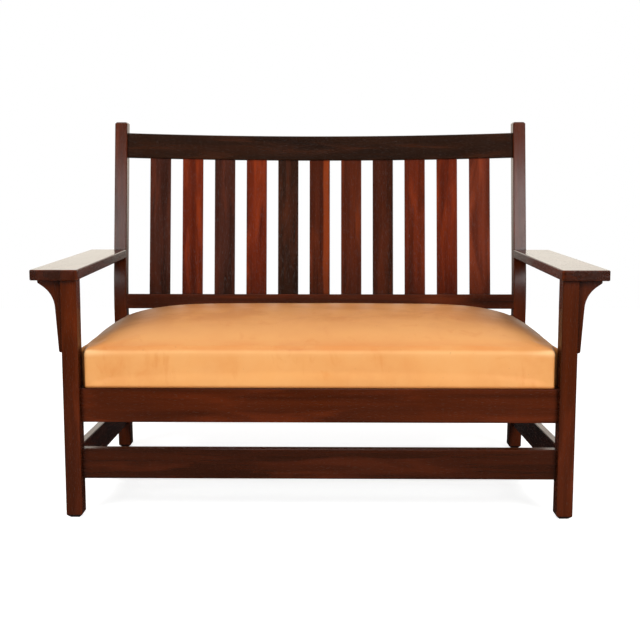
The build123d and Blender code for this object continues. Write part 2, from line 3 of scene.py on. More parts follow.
import logging
from collections.abc import Callable
from dataclasses import dataclass
from enum import Enum
from functools import cache
from math import cos, pi, radians, sin, sqrt, tan

import bmesh
import bpy
import numpy as np
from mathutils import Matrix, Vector, noise


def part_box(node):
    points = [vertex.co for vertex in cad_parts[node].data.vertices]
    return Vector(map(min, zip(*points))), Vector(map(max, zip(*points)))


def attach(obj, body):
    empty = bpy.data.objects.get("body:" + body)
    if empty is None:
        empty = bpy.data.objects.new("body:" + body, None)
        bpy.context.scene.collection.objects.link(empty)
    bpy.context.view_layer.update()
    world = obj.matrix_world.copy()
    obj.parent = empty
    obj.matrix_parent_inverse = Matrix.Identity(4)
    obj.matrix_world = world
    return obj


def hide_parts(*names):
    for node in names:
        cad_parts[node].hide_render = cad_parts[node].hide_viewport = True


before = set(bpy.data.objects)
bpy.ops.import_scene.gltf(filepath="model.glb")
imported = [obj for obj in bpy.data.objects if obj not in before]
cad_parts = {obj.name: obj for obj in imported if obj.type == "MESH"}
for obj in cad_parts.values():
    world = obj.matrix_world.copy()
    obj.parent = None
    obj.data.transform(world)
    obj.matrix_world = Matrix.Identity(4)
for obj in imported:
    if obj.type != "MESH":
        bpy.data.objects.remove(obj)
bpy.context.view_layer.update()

LOG = logging.getLogger("settle")
MM = 0.001
FLOAT, VECTOR = "NodeSocketFloat", "NodeSocketVector"
WHITE = (1.0, 1.0, 1.0, 1.0)

Colour = tuple[int, int, int]
Light = tuple[float, float, float, float]
Faces = list[tuple[int, ...]]
Socket = bpy.types.NodeSocket


def linear(colour: Colour, share: float = 1.0) -> Light:
    """Turn a screen colour into the light values that shaders take.

    Args:
        colour: Red, green and blue from 0 to 255.
        share: How much of the light is kept.

    Returns:
        Red, green, blue and alpha from 0 to 1.
    """
    shares = [value / 255 for value in colour]
    light = [s / 12.92 if s <= 0.04045 else ((s + 0.055) / 1.055) ** 2.4 for s in shares]
    return (*(value * share for value in light), 1.0)


# Node trees


class Value:
    """What a node puts out, to be reckoned with like a number."""

    def __init__(self, graph: "Graph", socket: Socket) -> None:
        """Take an output of the graph's tree."""
        self.graph, self.socket = graph, socket

    def __add__(self, other: "Number") -> "Value":
        """The sum."""
        return self.graph.math("ADD", self, other)

    def __sub__(self, other: "Number") -> "Value":
        """The difference."""
        return self.graph.math("SUBTRACT", self, other)

    def __rsub__(self, other: float) -> "Value":
        """A plain number less this value."""
        return self.graph.math("SUBTRACT", other, self)

    def __mul__(self, other: "Number") -> "Value":
        """The product."""
        return self.graph.math("MULTIPLY", self, other)

    def __truediv__(self, other: "Number") -> "Value":
        """The quotient."""
        return self.graph.math("DIVIDE", self, other)

    def __abs__(self) -> "Value":
        """The value without its sign."""
        return self.graph.math("ABSOLUTE", self)

    def parts(self) -> tuple["Value", ...]:
        """The three numbers of a vector."""
        return tuple(self.graph.read("ShaderNodeSeparateXYZ", {"Vector": self}).values())

    def cloud(self, scale: float | tuple[float, ...], detail: float = 3.0,
              roughness: float = 0.5, distortion: float = 0.0) -> "Value":
        """Soft random values from 0 to 1, mostly near the middle, read at this vector.

        Args:
            scale: Patches in a metre, one number for all axes or one for each.
            detail: How many finer layers are added.
            roughness: How strong the finer layers are.
            distortion: How far the pattern is stirred.

        Returns:
            The pattern.
        """
        place = self
        if isinstance(scale, tuple):
            place, scale = self.graph.vectors("MULTIPLY", self, scale), 1.0
        return self.graph.get("ShaderNodeTexNoise", {
            "Vector": place, "Scale": scale, "Detail": detail, "Roughness": roughness,
            "Distortion": distortion})

    def step(self, low: float, high: float, start: float = 0.0, end: float = 1.0) -> "Value":
        """Smooth step of this value between two limits, from a start to an end."""
        return self.graph.get("ShaderNodeMapRange", {
            "Value": self, "From Min": low, "From Max": high, "To Min": start,
            "To Max": end}, interpolation_type="SMOOTHSTEP")

    def fall(self, low: float, high: float) -> "Value":
        """Smooth step from 1 down to 0."""
        return self.step(low, high, 1.0, 0.0)

    def between(self, outer_low: float, low: float, high: float, outer_high: float) -> "Value":
        """1 between the inner limits and 0 outside the outer ones."""
        return self.step(outer_low, low) * self.fall(high, outer_high)

    def layer(self, name: str, mask: "Value", amount: float, colour: Colour,
              share: float = 1.0) -> "Value":
        """This colour under a share of another one's light, as strong as amount times mask."""
        return self.graph.blend(mask * amount, self, linear(colour, share), name)

    def dimmed(self, name: str, mask: "Value", shares: tuple[float, ...]) -> "Value":
        """This colour with shares of its red, green and blue kept where the mask is 1."""
        return self.graph.blend(mask, self, (*shares, 1.0), name, "MULTIPLY")


Number = Value | float


class Graph:
    """Adds nodes to one tree and joins them by name."""

    MIX_FACTOR, MIX_FIRST, MIX_SECOND, MIX_COLOUR = 0, 6, 7, 2
    RANDOM_LOW, RANDOM_HIGH, RANDOM_NUMBER = 2, 3, 1

    def __init__(self, tree: bpy.types.NodeTree) -> None:
        """Work in the given tree."""
        self.tree = tree

    def feed(self, socket: Socket, value: object) -> None:
        """Join an input to a value, or give it a constant.

        Args:
            socket: The input to set.
            value: A value, a list of values, a number, a vector or a colour.
        """
        for item in value if isinstance(value, list) else [value]:
            if isinstance(item, Value):
                self.tree.links.new(item.socket, socket)
            else:
                socket.default_value = item

    def add(self, kind: str, inputs: dict | None = None, **settings: object) -> bpy.types.Node:
        """Add one node.

        Args:
            kind: Blender's name for the node type.
            inputs: What its inputs are fed with, by name or number.
            settings: Its own properties.

        Returns:
            The new node.
        """
        node = self.tree.nodes.new(kind)
        for name, value in settings.items():
            setattr(node, name, value)
        for name, value in (inputs or {}).items():
            self.feed(node.inputs[name], value)
        return node

    def get(self, kind: str, inputs: dict | None = None, output: int | str = 0,
            **settings: object) -> Value:
        """Add one node and take one of its outputs, by name or number."""
        return Value(self, self.add(kind, inputs, **settings).outputs[output])

    def read(self, kind: str, inputs: dict | None = None, **settings: object) -> dict[str, Value]:
        """Add one node and take all its outputs, by name."""
        return {s.name: Value(self, s) for s in self.add(kind, inputs, **settings).outputs}

    def use(self, tree: bpy.types.NodeTree, **inputs: object) -> dict[str, Value]:
        """Place a node group and take its outputs, by name."""
        return self.read("ShaderNodeGroup", inputs, node_tree=tree)

    def give(self, **outputs: Value) -> bpy.types.NodeTree:
        """Fill the outputs of a group and return its tree."""
        self.add("NodeGroupOutput", outputs)
        return self.tree

    def shade(self, inputs: dict[str, object]) -> None:
        """Feed the main shader of a material.

        Args:
            inputs: What its inputs are fed with, by name.
        """
        shader = self.tree.nodes["Principled BSDF"]
        for name, value in inputs.items():
            self.feed(shader.inputs[name], value)

    def math(self, operation: str, *values: Number) -> Value:
        """Result of a sum on numbers."""
        return self.get("ShaderNodeMath", dict(enumerate(values)), operation=operation)

    def vectors(self, operation: str, *values: object, output: str = "Vector") -> Value:
        """Result of a sum on vectors."""
        return self.get("ShaderNodeVectorMath", dict(enumerate(values)), output,
                        operation=operation)

    def join(self, x: Number, y: Number, z: Number) -> Value:
        """A vector from three numbers."""
        return self.get("ShaderNodeCombineXYZ", {"X": x, "Y": y, "Z": z})

    def place(self) -> Value:
        """Where a point of the surface is, in the settle's own frame."""
        return self.get("ShaderNodeTexCoord", output="Object")

    def facing(self) -> Value:
        """Which way the surface faces."""
        return self.get("ShaderNodeNewGeometry", output="Normal")

    def blend(self, factor: Number, first: object, second: object, name: str = "",
              how: str = "MIX") -> Value:
        """A colour between two others: the first at factor 0 and the second at 1."""
        inputs = {self.MIX_FACTOR: factor, self.MIX_FIRST: first, self.MIX_SECOND: second}
        return self.get("ShaderNodeMix", inputs, self.MIX_COLOUR, data_type="RGBA",
                        blend_type=how, label=name)

    def bump(self, height: Value, distance: float, strength: float = 1.0,
             **under: Value) -> Value:
        """Normal of a relief this many metres high, over the relief given as Normal."""
        return self.get("ShaderNodeBump", {"Height": height, "Distance": distance,
                                           "Strength": strength, **under})

    def changed(self, form: Value, how: str, x: Number, y: Number, z: Number) -> Value:
        """A form after a change of its Scale or its Translation."""
        return self.get("GeometryNodeTransform", {"Geometry": form, how: self.join(x, y, z)})

    def random(self, low: float, high: float, seed: Number) -> Value:
        """A random number for each place."""
        return self.get("FunctionNodeRandomValue", {
            self.RANDOM_LOW: low, self.RANDOM_HIGH: high, "Seed": seed},
            self.RANDOM_NUMBER, data_type="FLOAT")


def add_sockets(tree: bpy.types.NodeTree, inputs: dict[str, str],
                outputs: dict[str, str]) -> None:
    """Give a group its inputs and outputs.

    Args:
        tree: The group's tree.
        inputs: Socket types of its inputs, by name.
        outputs: Socket types of its outputs, by name.
    """
    for way, sockets in (("INPUT", inputs), ("OUTPUT", outputs)):
        for label, kind in sockets.items():
            tree.interface.new_socket(label, in_out=way, socket_type=kind)


def effect(name: str, inputs: dict[str, str],
           outputs: dict[str, str]) -> tuple[Graph, dict[str, Value]]:
    """Begin a shader node group.

    Args:
        name: The group's name.
        inputs: Socket types of its inputs, by name.
        outputs: Socket types of its outputs, by name.

    Returns:
        The group's graph and what it is given.
    """
    graph = Graph(bpy.data.node_groups.new(name, "ShaderNodeTree"))
    add_sockets(graph.tree, inputs, outputs)
    return graph, graph.read("NodeGroupInput")


@cache
def grain_effect() -> bpy.types.NodeTree:
    """Hardwood grain that runs along the first axis: tone, glow, pores and relief.

    Returns:
        The group.
    """
    graph, given = effect("wood grain", {"Vector": VECTOR, "Seed": FLOAT},
                          {"Tone": FLOAT, "Glow": FLOAT, "Pores": FLOAT, "Height": FLOAT})
    seed = given["Seed"]
    place = graph.vectors("ADD", given["Vector"], graph.join(seed * 3.1, seed * 1.7, seed * 2.3))
    ribbon = place.cloud((1.4, 34, 34), 2, distortion=0.3).step(0.3, 0.7)
    streak = place.cloud((3.5, 130, 130), 4, 0.6).step(0.28, 0.72)
    fibre = place.cloud((26, 800, 800), 2)
    flame = place.cloud((3.2, 26, 26), 3, 0.55, 0.6).step(0.46, 0.7)
    pores = place.cloud((60, 1500, 1500), 1).step(0.63, 0.74)
    ribbon_share, streak_share, fibre_share = 0.5, 0.35, 0.15
    tone = ribbon * ribbon_share + streak * streak_share + fibre * fibre_share
    return graph.give(Tone=tone, Glow=flame, Pores=pores, Height=fibre * 0.5 - pores)


@cache
def wear_effect() -> bpy.types.NodeTree:
    """Eased corners, and where they are rubbed: a normal and a mask that follow the edges.

    Returns:
        The group.
    """
    graph, given = effect("edge wear", {"Vector": VECTOR, "Radius": FLOAT, "Amount": FLOAT},
                          {"Worn": FLOAT, "Normal": VECTOR})
    eased = graph.get("ShaderNodeBevel", {"Radius": given["Radius"]}, samples=6)
    level = graph.vectors("DOT_PRODUCT", eased, graph.facing(), output="Value")
    broken = given["Vector"].cloud(55.0, 5, 0.65).step(0.42, 0.6)
    worn = (1.0 - level).step(0.02, 0.22) * broken * given["Amount"]
    return graph.give(Worn=worn, Normal=eased)


@cache
def corner_dirt_and_shade_effect() -> bpy.types.NodeTree:
    """Old polish and grime where two pieces meet, with painted shade: darker wherever ambient
    occlusion finds the pieces close.

    Returns:
        The group.
    """
    graph, given = effect("corner dirt", {"Vector": VECTOR, "Reach": FLOAT}, {"Dirt": FLOAT})
    # Ambient occlusion darkens the corners: painted shade, mixed with grime.
    room = graph.get("ShaderNodeAmbientOcclusion", {"Distance": given["Reach"]}, "AO", samples=6)
    level = given["Vector"].cloud(24.0, 4, 0.6) * 0.2 + room
    return graph.give(Dirt=level.fall(0.5, 0.9))


@cache
def handling_effect() -> bpy.types.NodeTree:
    """Marks of use: small nicks, and soft patches where the polish has dulled.

    Returns:
        The group.
    """
    graph, given = effect("handling", {"Vector": VECTOR}, {"Nicks": FLOAT, "Dull": FLOAT})
    nicks = given["Vector"].cloud((60, 75, 60), 6, 0.75).step(0.69, 0.75)
    return graph.give(Nicks=nicks, Dull=given["Vector"].cloud(7.0, 5, 0.6).step(0.38, 0.66))


@cache
def weave_effect() -> bpy.types.NodeTree:
    """Plain weave in the level plane: relief of the threads and their uneven tone.

    Returns:
        The group.
    """
    graph, given = effect("plain weave", {"Vector": VECTOR, "Threads": FLOAT},
                          {"Height": FLOAT, "Tone": FLOAT})
    x, y, _ = given["Vector"].parts()
    over, under = (graph.math("SINE", way * (given["Threads"] * pi)) for way in (x, y))
    crossing = (over * under).step(-0.15, 0.15)
    relief = abs(over) * crossing + abs(under) * (1.0 - crossing)
    slubs = given["Vector"].cloud((30, 400, 30), 2).step(0.3, 0.7)
    return graph.give(Height=relief, Tone=slubs)


# Finishes


class Run(Enum):
    """Which way the grain of a piece runs."""

    ALONG = "along the settle"
    DEPTH = "from front to back"
    UPRIGHT = "up a straight piece"
    BENT = "up a post that leans above its bend"
    RAKED = "up the leaning back"
    BOWED = "along the bowed back"


@dataclass(frozen=True)
class BackLine:
    """How the back leans and bows, so that the grain can follow it."""

    bend_height: float = 485 * MM
    lean: float = radians(8)
    bow: float = 57.5 * MM

    def bend_depth(self) -> float:
        """Depth of the posts' front face at the bend."""
        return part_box("rear_post_left")[0].y

    def half_width(self) -> float:
        """Half the distance between the posts."""
        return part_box("rear_post_right")[0].x


def grain_space(graph: Graph, run: Run) -> Value:
    """Place on a piece, with its grain along the first axis.

    Args:
        graph: The material's graph.
        run: Which way the grain runs.

    Returns:
        The place.
    """
    x, y, z = graph.place().parts()
    straight = {Run.ALONG: (x, y, z), Run.DEPTH: (y, x, z), Run.UPRIGHT: (z, x, y)}
    if run in straight:
        return graph.join(*straight[run])
    line = BackLine()
    rise = z - line.bend_height
    if run is Run.BENT:
        return graph.join(z, x, y - graph.math("MAXIMUM", rise, 0.0) * tan(line.lean))
    depth = y - line.bend_depth()
    up = rise * cos(line.lean) + depth * sin(line.lean)
    back = depth * cos(line.lean) - rise * sin(line.lean)
    if run is Run.RAKED:
        return graph.join(up, x, back)
    share = x / line.half_width()
    return graph.join(x, share * share * line.bow + back, up)


@dataclass(frozen=True)
class Stain:
    """Colours of a stained board: its dark streaks, its light ones and where it glows."""

    dark: Colour
    light: Colour
    glow: Colour


class Board(Enum):
    """Boards of different natural colour under one stain, and the frame's board painted darker as
    shade for the low stretchers.
    """

    FRAME = Stain((56, 20, 3), (88, 33, 6), (106, 40, 9))
    # The frame's board made darker: painted shade for the stretchers near the floor.
    LOW = Stain((42, 15, 2), (70, 26, 5), (84, 32, 8))
    DARK = Stain((28, 15, 8), (51, 28, 15), (64, 32, 16))
    PLAIN = Stain((46, 19, 8), (86, 36, 17), (106, 44, 18))
    UMBER = Stain((36, 19, 10), (66, 35, 21), (85, 40, 21))
    BROWN = Stain((45, 21, 12), (81, 40, 28), (98, 45, 27))
    RUSSET = Stain((45, 19, 7), (83, 35, 16), (102, 42, 17))
    MIDDLE = Stain((55, 21, 7), (100, 40, 18), (121, 49, 18))
    RED = Stain((66, 23, 6), (111, 40, 16), (134, 49, 17))
    EMBER = Stain((70, 21, 5), (125, 43, 15), (156, 58, 19))
    ROSE = Stain((70, 26, 13), (121, 51, 29), (146, 62, 32))


@dataclass(frozen=True)
class Finish:
    """What a piece looks like, built as one material."""

    name: str

    def paint(self, graph: Graph) -> None:
        """Fill the material's node tree."""
        raise NotImplementedError

    def material(self) -> bpy.types.Material:
        """Build the material.

        Returns:
            The new material.
        """
        material = bpy.data.materials.new(self.name)
        material.use_nodes = True
        self.paint(Graph(material.node_tree))
        return material


@dataclass(frozen=True)
class Sapwood:
    """A pale strip that runs up one side of a board."""

    start: float
    end: float
    colour: Colour
    waver: float = 12 * MM
    soft: float = 3 * MM
    amount: float = 0.75

    def add_to(self, colour: Value) -> Value:
        """The board's colour with the strip.

        Args:
            colour: The board's colour.

        Returns:
            The new colour.
        """
        place = colour.graph.place()
        edge = (place.cloud((6, 6, 5)) - 0.5) * self.waver + place.parts()[0]
        inside = edge.between(self.start - self.soft, self.start + self.soft,
                              self.end - self.soft, self.end + self.soft)
        return colour.layer("sapwood", inside, self.amount, self.colour)


@dataclass(frozen=True)
class PolishedWood(Finish):
    """Stained and polished hardwood."""

    board: Board
    run: Run
    seed: float = 0.0
    polish: float = 0.2
    roughness: float = 0.22
    wear: float = 0.5
    rubbed_top: bool = False
    sapwood: Sapwood | None = None
    # foot and the field after it: painted shade that darkens the piece towards its lower end, and
    # how far up it fades.
    foot: float = 0.0
    foot_shade_reach: float = 0.17
    eased: float = 1.6 * MM
    corner_reach: float = 22 * MM
    rubbed_colour: Colour = (134, 70, 40)

    def end_grain(self, graph: Graph) -> Value:
        """Where a sawn end soaked up more stain.

        Args:
            graph: The material's graph.

        Returns:
            The mask.
        """
        x, y, z = graph.facing().parts()
        level = {Run.DEPTH: y, Run.ALONG: x, Run.BOWED: x}.get(self.run, z)
        return abs(level).step(0.8, 0.95)

    def paint(self, graph: Graph) -> None:
        """Fill the material's node tree.

        Args:
            graph: The material's graph.
        """
        here, place, stain = graph.place(), grain_space(graph, self.run), self.board.value
        grain = graph.use(grain_effect(), Vector=place, Seed=self.seed)
        wear = graph.use(wear_effect(), Vector=place, Radius=self.eased, Amount=self.wear)
        marks = graph.use(handling_effect(), Vector=here)
        corner = graph.use(corner_dirt_and_shade_effect(), Vector=here, Reach=self.corner_reach)
        colour = graph.blend(grain["Tone"], linear(stain.dark), linear(stain.light))
        colour = colour.layer("glow", grain["Glow"], 0.7, stain.glow)
        if self.sapwood:
            colour = self.sapwood.add_to(colour)
        colour = colour.layer("pores", grain["Pores"], 0.55, stain.dark, share=0.3)
        colour = colour.layer("end grain", self.end_grain(graph), 0.55, (22, 13, 8))
        # Painted shade: darker towards the lower end of the piece, near the seat.
        if self.foot:
            low = here.parts()[2].fall(self.foot, self.foot + self.foot_shade_reach)
            colour = colour.layer("dark foot", low, 0.42, (22, 10, 4))
        # Very dark where pieces meet: painted shade from ambient occlusion, mixed with grime.
        colour = colour.layer("dirt", corner["Dirt"], 0.8, (14, 8, 5))
        colour = colour.layer("rubbed edges", wear["Worn"], 0.55, self.rubbed_colour)
        colour = colour.layer("nicks", marks["Nicks"], 0.45, self.rubbed_colour)
        normal = graph.bump(grain["Height"], 0.12 * MM, 0.5, Normal=wear["Normal"])
        coat = {"Coat Weight": self.polish, "Coat Roughness": 0.12}
        if self.rubbed_top:
            waves = place.cloud((14, 45, 45), 5, 0.65)
            normal = graph.bump(waves, 0.9 * MM, 0.8, Normal=normal)
            up = graph.facing().parts()[2]
            coat |= {"Coat Weight": up.step(0.5, 0.9, self.polish, 1.0), "Coat Normal": normal}
        gloss = grain["Pores"] * 0.12 + (marks["Dull"] * 0.04 + self.roughness)
        graph.shade({"Base Color": colour, "Roughness": gloss, "Normal": normal, **coat})


@dataclass(frozen=True)
class RawWood(Finish):
    """Sawn hardwood that was never stained, browned by age."""

    run: Run
    seed: float = 0.0
    eased: float = 1.0 * MM
    wear: float = 0.4

    def paint(self, graph: Graph) -> None:
        """Fill the material's node tree.

        Args:
            graph: The material's graph.
        """
        place = grain_space(graph, self.run)
        grain = graph.use(grain_effect(), Vector=place, Seed=self.seed)
        wear = graph.use(wear_effect(), Vector=place, Radius=self.eased, Amount=self.wear)
        grime = graph.place().cloud(11.0, 6, 0.65).step(0.4, 0.68)
        saw_marks = place.cloud((260, 8, 8), 2)
        colour = graph.blend(grain["Tone"], linear((112, 74, 46)), linear((168, 122, 82)))
        colour = colour.layer("pores", grain["Pores"], 0.5, (66, 42, 27))
        colour = colour.layer("grime", grime, 0.5, (86, 60, 42))
        normal = graph.bump(saw_marks * 0.6 + grain["Height"], 0.25 * MM, 0.6,
                            Normal=wear["Normal"])
        graph.shade({"Base Color": colour, "Roughness": grime * 0.12 + 0.72, "Normal": normal})


@dataclass(frozen=True)
class TanLeather(Finish):
    """Natural tan hide, handled and warmed by the sun."""

    front: float
    base: float
    edge_height: float
    side: float
    notch: float

    def shaded(self, place: Value, colour: Value) -> Value:
        """Stain the rear; paint shade at rear ends, end hollows and front legs, and reflections
        on the end rolls.

        Args:
            place: Place on the cover.
            colour: The hide's colour.

        Returns:
            The new colour.
        """
        x, y, _ = place.parts()
        up = place.graph.facing().parts()[2]
        aside, behind = abs(x), y - self.front
        back = behind.step(20 * MM, 150 * MM)
        blotch = place.cloud((6, 12, 6), 5, 0.62, 0.4).step(0.4, 0.6, 0.5, 1.1)
        rear = behind.step(50 * MM, 190 * MM) * blotch
        # Painted shade at the rear of both ends, under the arms and posts.
        ends = behind.step(80 * MM, 220 * MM) * aside.step(0.33, 0.46)
        # Painted shade in the hollow before each end roll.
        hollow = aside.between(0.53, 0.565, 0.585, 0.6) * back
        # Painted reflection: the upward part of each end roll made pale, as if it mirrored the
        # white behind.
        roll = aside.step(0.588, 0.603) * back * up.step(0.15, 0.5)
        # Painted shade in the narrow gaps beside the front legs.
        beside = (aside.step(self.side - 7 * MM, self.side - 1.5 * MM)
                  * y.fall(self.notch - 4 * MM, self.notch + 12 * MM))
        colour = colour.dimmed("rear", rear, (0.81, 0.69, 0.56))
        colour = colour.dimmed("ends", ends, (0.70, 0.70, 0.74))
        colour = colour.dimmed("hollow before the end roll", hollow, (0.70, 0.68, 0.60))
        colour = colour.layer("pale end roll", roll, 0.62, (222, 205, 178))
        return colour.dimmed("beside the legs", beside, (0.32, 0.23, 0.16))

    def front_edge(self, place: Value, colour: Value) -> Value:
        """Rub the turned edge pale with a painted highlight stronger towards the ends, and stain
        the band behind it and the seam below it.

        Args:
            place: Place on the cover.
            colour: The hide's colour.

        Returns:
            The new colour.
        """
        x, y, z = place.parts()
        behind = y - self.front
        broken = place.cloud((7, 24, 24), 6, 0.65).step(0.36, 0.68, 0.15, 1.0)
        band = behind.between(3 * MM, 11 * MM, 20 * MM, 46 * MM) * broken
        red = band * x.between(-0.12, -0.075, -0.06, 0.02)
        # Pale turned edge: partly rubbed wear, partly a painted highlight that grows towards the
        # ends.
        rubbed = ((z - self.edge_height).step(-24 * MM, -9 * MM)
                  * behind.fall(5 * MM, 12 * MM) * abs(x).step(0.5, 0.575, 0.2, 0.65))
        seam = (z - self.base).fall(2 * MM, 8 * MM)
        colour = colour.layer("warm band", band, 0.42, (224, 132, 62))
        colour = colour.layer("red mark", red, 0.35, (196, 92, 46))
        colour = colour.layer("rubbed edge", rubbed, 1.0, (255, 206, 146))
        return colour.layer("seam", seam, 0.55, (206, 112, 44))

    def paint(self, graph: Graph) -> None:
        """Fill the material's node tree.

        Args:
            graph: The material's graph.
        """
        place = graph.place()
        broad = place.cloud(3.2, 3, 0.5, 0.5).step(0.32, 0.68)
        mottle = place.cloud(22.0, 6, 0.6).step(0.3, 0.7)
        amber = place.cloud((20, 20, 9), 5, 0.6, 0.8).step(0.56, 0.7)
        specks = place.cloud(130.0, 3, 0.6).step(0.69, 0.75)
        top = graph.facing().parts()[2].step(0.35, 0.85)
        colour = graph.blend(broad, linear((240, 170, 99)), linear((232, 158, 88)))
        colour = colour.layer("mottle", mottle, 0.35, (243, 180, 112))
        colour = colour.layer("amber", amber, 0.4, (226, 142, 66))
        # Upward faces painted darker and more orange: painted shade on the top.
        colour = colour.layer("top", top, 0.28, (214, 146, 88))
        colour = self.front_edge(place, self.shaded(place, colour))
        colour = colour.layer("specks", specks, 0.4, (160, 92, 46))
        pebble = graph.get("ShaderNodeTexVoronoi", {"Vector": place, "Scale": 620.0}, "Distance",
                           feature="DISTANCE_TO_EDGE").step(0.0, 0.35)
        normal = graph.bump(pebble, 0.10 * MM, 0.35)
        normal = graph.bump(place.cloud(16.0), 1.6 * MM, 0.35, Normal=normal)
        graph.shade({"Base Color": colour, "Roughness": mottle * 0.1 + 0.4, "Normal": normal})


@dataclass(frozen=True)
class Cloth(Finish):
    """A plain-woven cloth."""

    threads: float
    dark: Colour
    light: Colour
    relief: float

    def paint(self, graph: Graph) -> None:
        """Fill the material's node tree.

        Args:
            graph: The material's graph.
        """
        weave = graph.use(weave_effect(), Vector=graph.place(), Threads=self.threads)
        colour = graph.blend(weave["Tone"], linear(self.dark), linear(self.light))
        # Painted shade in the hollows between the threads.
        colour = colour.layer("hollows", weave["Height"].fall(0.15, 0.6), 0.55, self.dark,
                              share=0.35)
        graph.shade({"Base Color": colour, "Roughness": weave["Tone"].step(0.0, 1.0, 0.86, 0.95),
                     "Normal": graph.bump(weave["Height"], self.relief, 0.8),
                     "Sheen Weight": 0.2})


@dataclass(frozen=True)
class Steel(Finish):
    """Plain steel, dulled, with a bloom of rust."""

    clean: Colour
    rust_share: float

    def paint(self, graph: Graph) -> None:
        """Fill the material's node tree.

        Args:
            graph: The material's graph.
        """
        patch = graph.place().cloud(260.0, 6, 0.65)
        rust = patch.step(0.66 - self.rust_share, 0.74 - self.rust_share)
        scratch = graph.place().cloud((300, 2400, 2400), 2)
        graph.shade({"Base Color": graph.blend(rust, linear(self.clean), linear((94, 52, 30))),
                     "Metallic": rust.step(0.0, 1.0, 1.0, 0.1),
                     "Roughness": rust.step(0.0, 1.0, 0.38, 0.85),
                     "Normal": graph.bump(scratch, 0.05 * MM, 0.4)})


@dataclass(frozen=True)
class Stuffing(Finish):
    """Matted fibre."""

    def paint(self, graph: Graph) -> None:
        """Fill the material's node tree.

        Args:
            graph: The material's graph.
        """
        tufts = graph.place().cloud(70.0, 8, 0.7, 1.2)
        colour = graph.blend(tufts.step(0.3, 0.7), linear((168, 146, 112)),
                             linear((214, 200, 172)))
        graph.shade({"Base Color": colour, "Roughness": tufts.step(0.2, 0.8, 0.9, 1.0),
                     "Normal": graph.bump(tufts, 2.0 * MM, 0.8)})


def dress(node: str, finish: Finish) -> None:
    """Give a node of the frame its finish.

    Args:
        node: The node's name.
        finish: Its finish.
    """
    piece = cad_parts[node]
    piece.data.materials.clear()
    piece.data.materials.append(finish.material())
    LOG.info("%s: %s", node, type(finish).__name__)


def sides(name: str) -> list[str]:
    """Names of the left and right pieces."""
    return [f"{name}_left", f"{name}_right"]


def ends(name: str) -> list[str]:
    """Names of the front and rear pieces."""
    return [f"front_{name}", f"rear_{name}"]


# Sub-assemblies


@dataclass
class WoodenFrame:
    """Legs, posts, arms, corbels, rails and stretchers, and the strips and blocks inside."""

    arm_wear: float = 0.8

    def show_wood(self) -> None:
        """Finish the stained pieces, each with its own seed."""
        groups = ((sides("front_leg"), Board.FRAME, Run.UPRIGHT, 0, 0.5),
                  (sides("rear_post"), Board.FRAME, Run.BENT, 1, 0.5),
                  (sides("corbel"), Board.FRAME, Run.UPRIGHT, 2, 0.5),
                  (sides("side_stretcher"), Board.FRAME, Run.DEPTH, 8, 1),
                  (sides("side_seat_rail"), Board.FRAME, Run.DEPTH, 8, 1),
                  (ends("seat_rail"), Board.FRAME, Run.ALONG, 11, 1),
                  # The stretchers take the darker copy of the frame's board: painted shade.
                  (ends("stretcher"), Board.LOW, Run.ALONG, 13, 1))
        for nodes, board, run, seed, step in groups:
            for index, node in enumerate(nodes):
                dress(node, PolishedWood(node, board, run, seed + index * step))
        for seed, node in enumerate(sides("arm"), 5):
            dress(node, PolishedWood(node, Board.FRAME, Run.DEPTH, seed, wear=self.arm_wear,
                                     rubbed_top=True))

    def hidden_wood(self) -> None:
        """Finish the pieces under the seat."""
        for name in ("seat_cleat", *ends("corner_block")):
            for seed, node in enumerate(sides(name), 20):
                dress(node, RawWood(node, Run.DEPTH, seed))
        for seed, node in enumerate(("seat_cleat_rear", "corbel_dowels"), 23):
            dress(node, RawWood(node, Run.ALONG, seed))

    def build(self) -> None:
        """Finish every piece."""
        self.show_wood()
        self.hidden_wood()


@dataclass
class SlattedBack:
    """Two bowed rails and the slats between them, each slat from a different board."""

    boards: tuple[Board, ...] = (
        Board.BROWN, Board.EMBER, Board.BROWN, Board.EMBER, Board.UMBER, Board.MIDDLE,
        Board.MIDDLE, Board.RUSSET, Board.RED, Board.EMBER, Board.ROSE)
    pale_slat: int = 5
    pale_strip: tuple[float, float] = (20 * MM, 3 * MM)
    pale_colour: Colour = (150, 62, 22)

    def build(self) -> None:
        """Finish every piece."""
        dress("crest_rail", PolishedWood("crest_rail", Board.DARK, Run.BOWED, 30))
        dress("lower_back_rail", PolishedWood("lower_back_rail", Board.PLAIN, Run.BOWED, 31))
        for index, board in enumerate(self.boards):
            node = f"back_slat_{index + 1:02d}"
            low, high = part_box(node)
            start, end = (high.x - inset for inset in self.pale_strip)
            strip = Sapwood(start, end, self.pale_colour) if index == self.pale_slat else None
            # Each slat gets painted shade that darkens it towards its lower end.
            dress(node, PolishedWood(node, board, Run.RAKED, 40 + index, sapwood=strip,
                                     foot=low.z))


def show(name: str, data: bpy.types.ID) -> bpy.types.Object:
    """Make an object and link it to the scene.

    Args:
        name: The object's name.
        data: Its mesh, lamp or camera.

    Returns:
        The new object, at the origin.
    """
    made = bpy.data.objects.new(name, data)
    bpy.context.scene.collection.objects.link(made)
    return made


def mesh_piece(name: str, points: np.ndarray, faces: Faces,
               material: bpy.types.Material) -> bpy.types.Object:
    """Make a smooth mesh piece.

    Args:
        name: The piece's name.
        points: Its vertices.
        faces: Its faces, by vertex number.
        material: Its finish.

    Returns:
        The new object, at the origin.
    """
    mesh = bpy.data.meshes.new(name)
    mesh.from_pydata([tuple(map(float, p)) for p in points], [], faces)
    mesh.polygons.foreach_set("use_smooth", [True] * len(mesh.polygons))
    mesh.materials.append(material)
    mesh.update()
    return show(name, mesh)


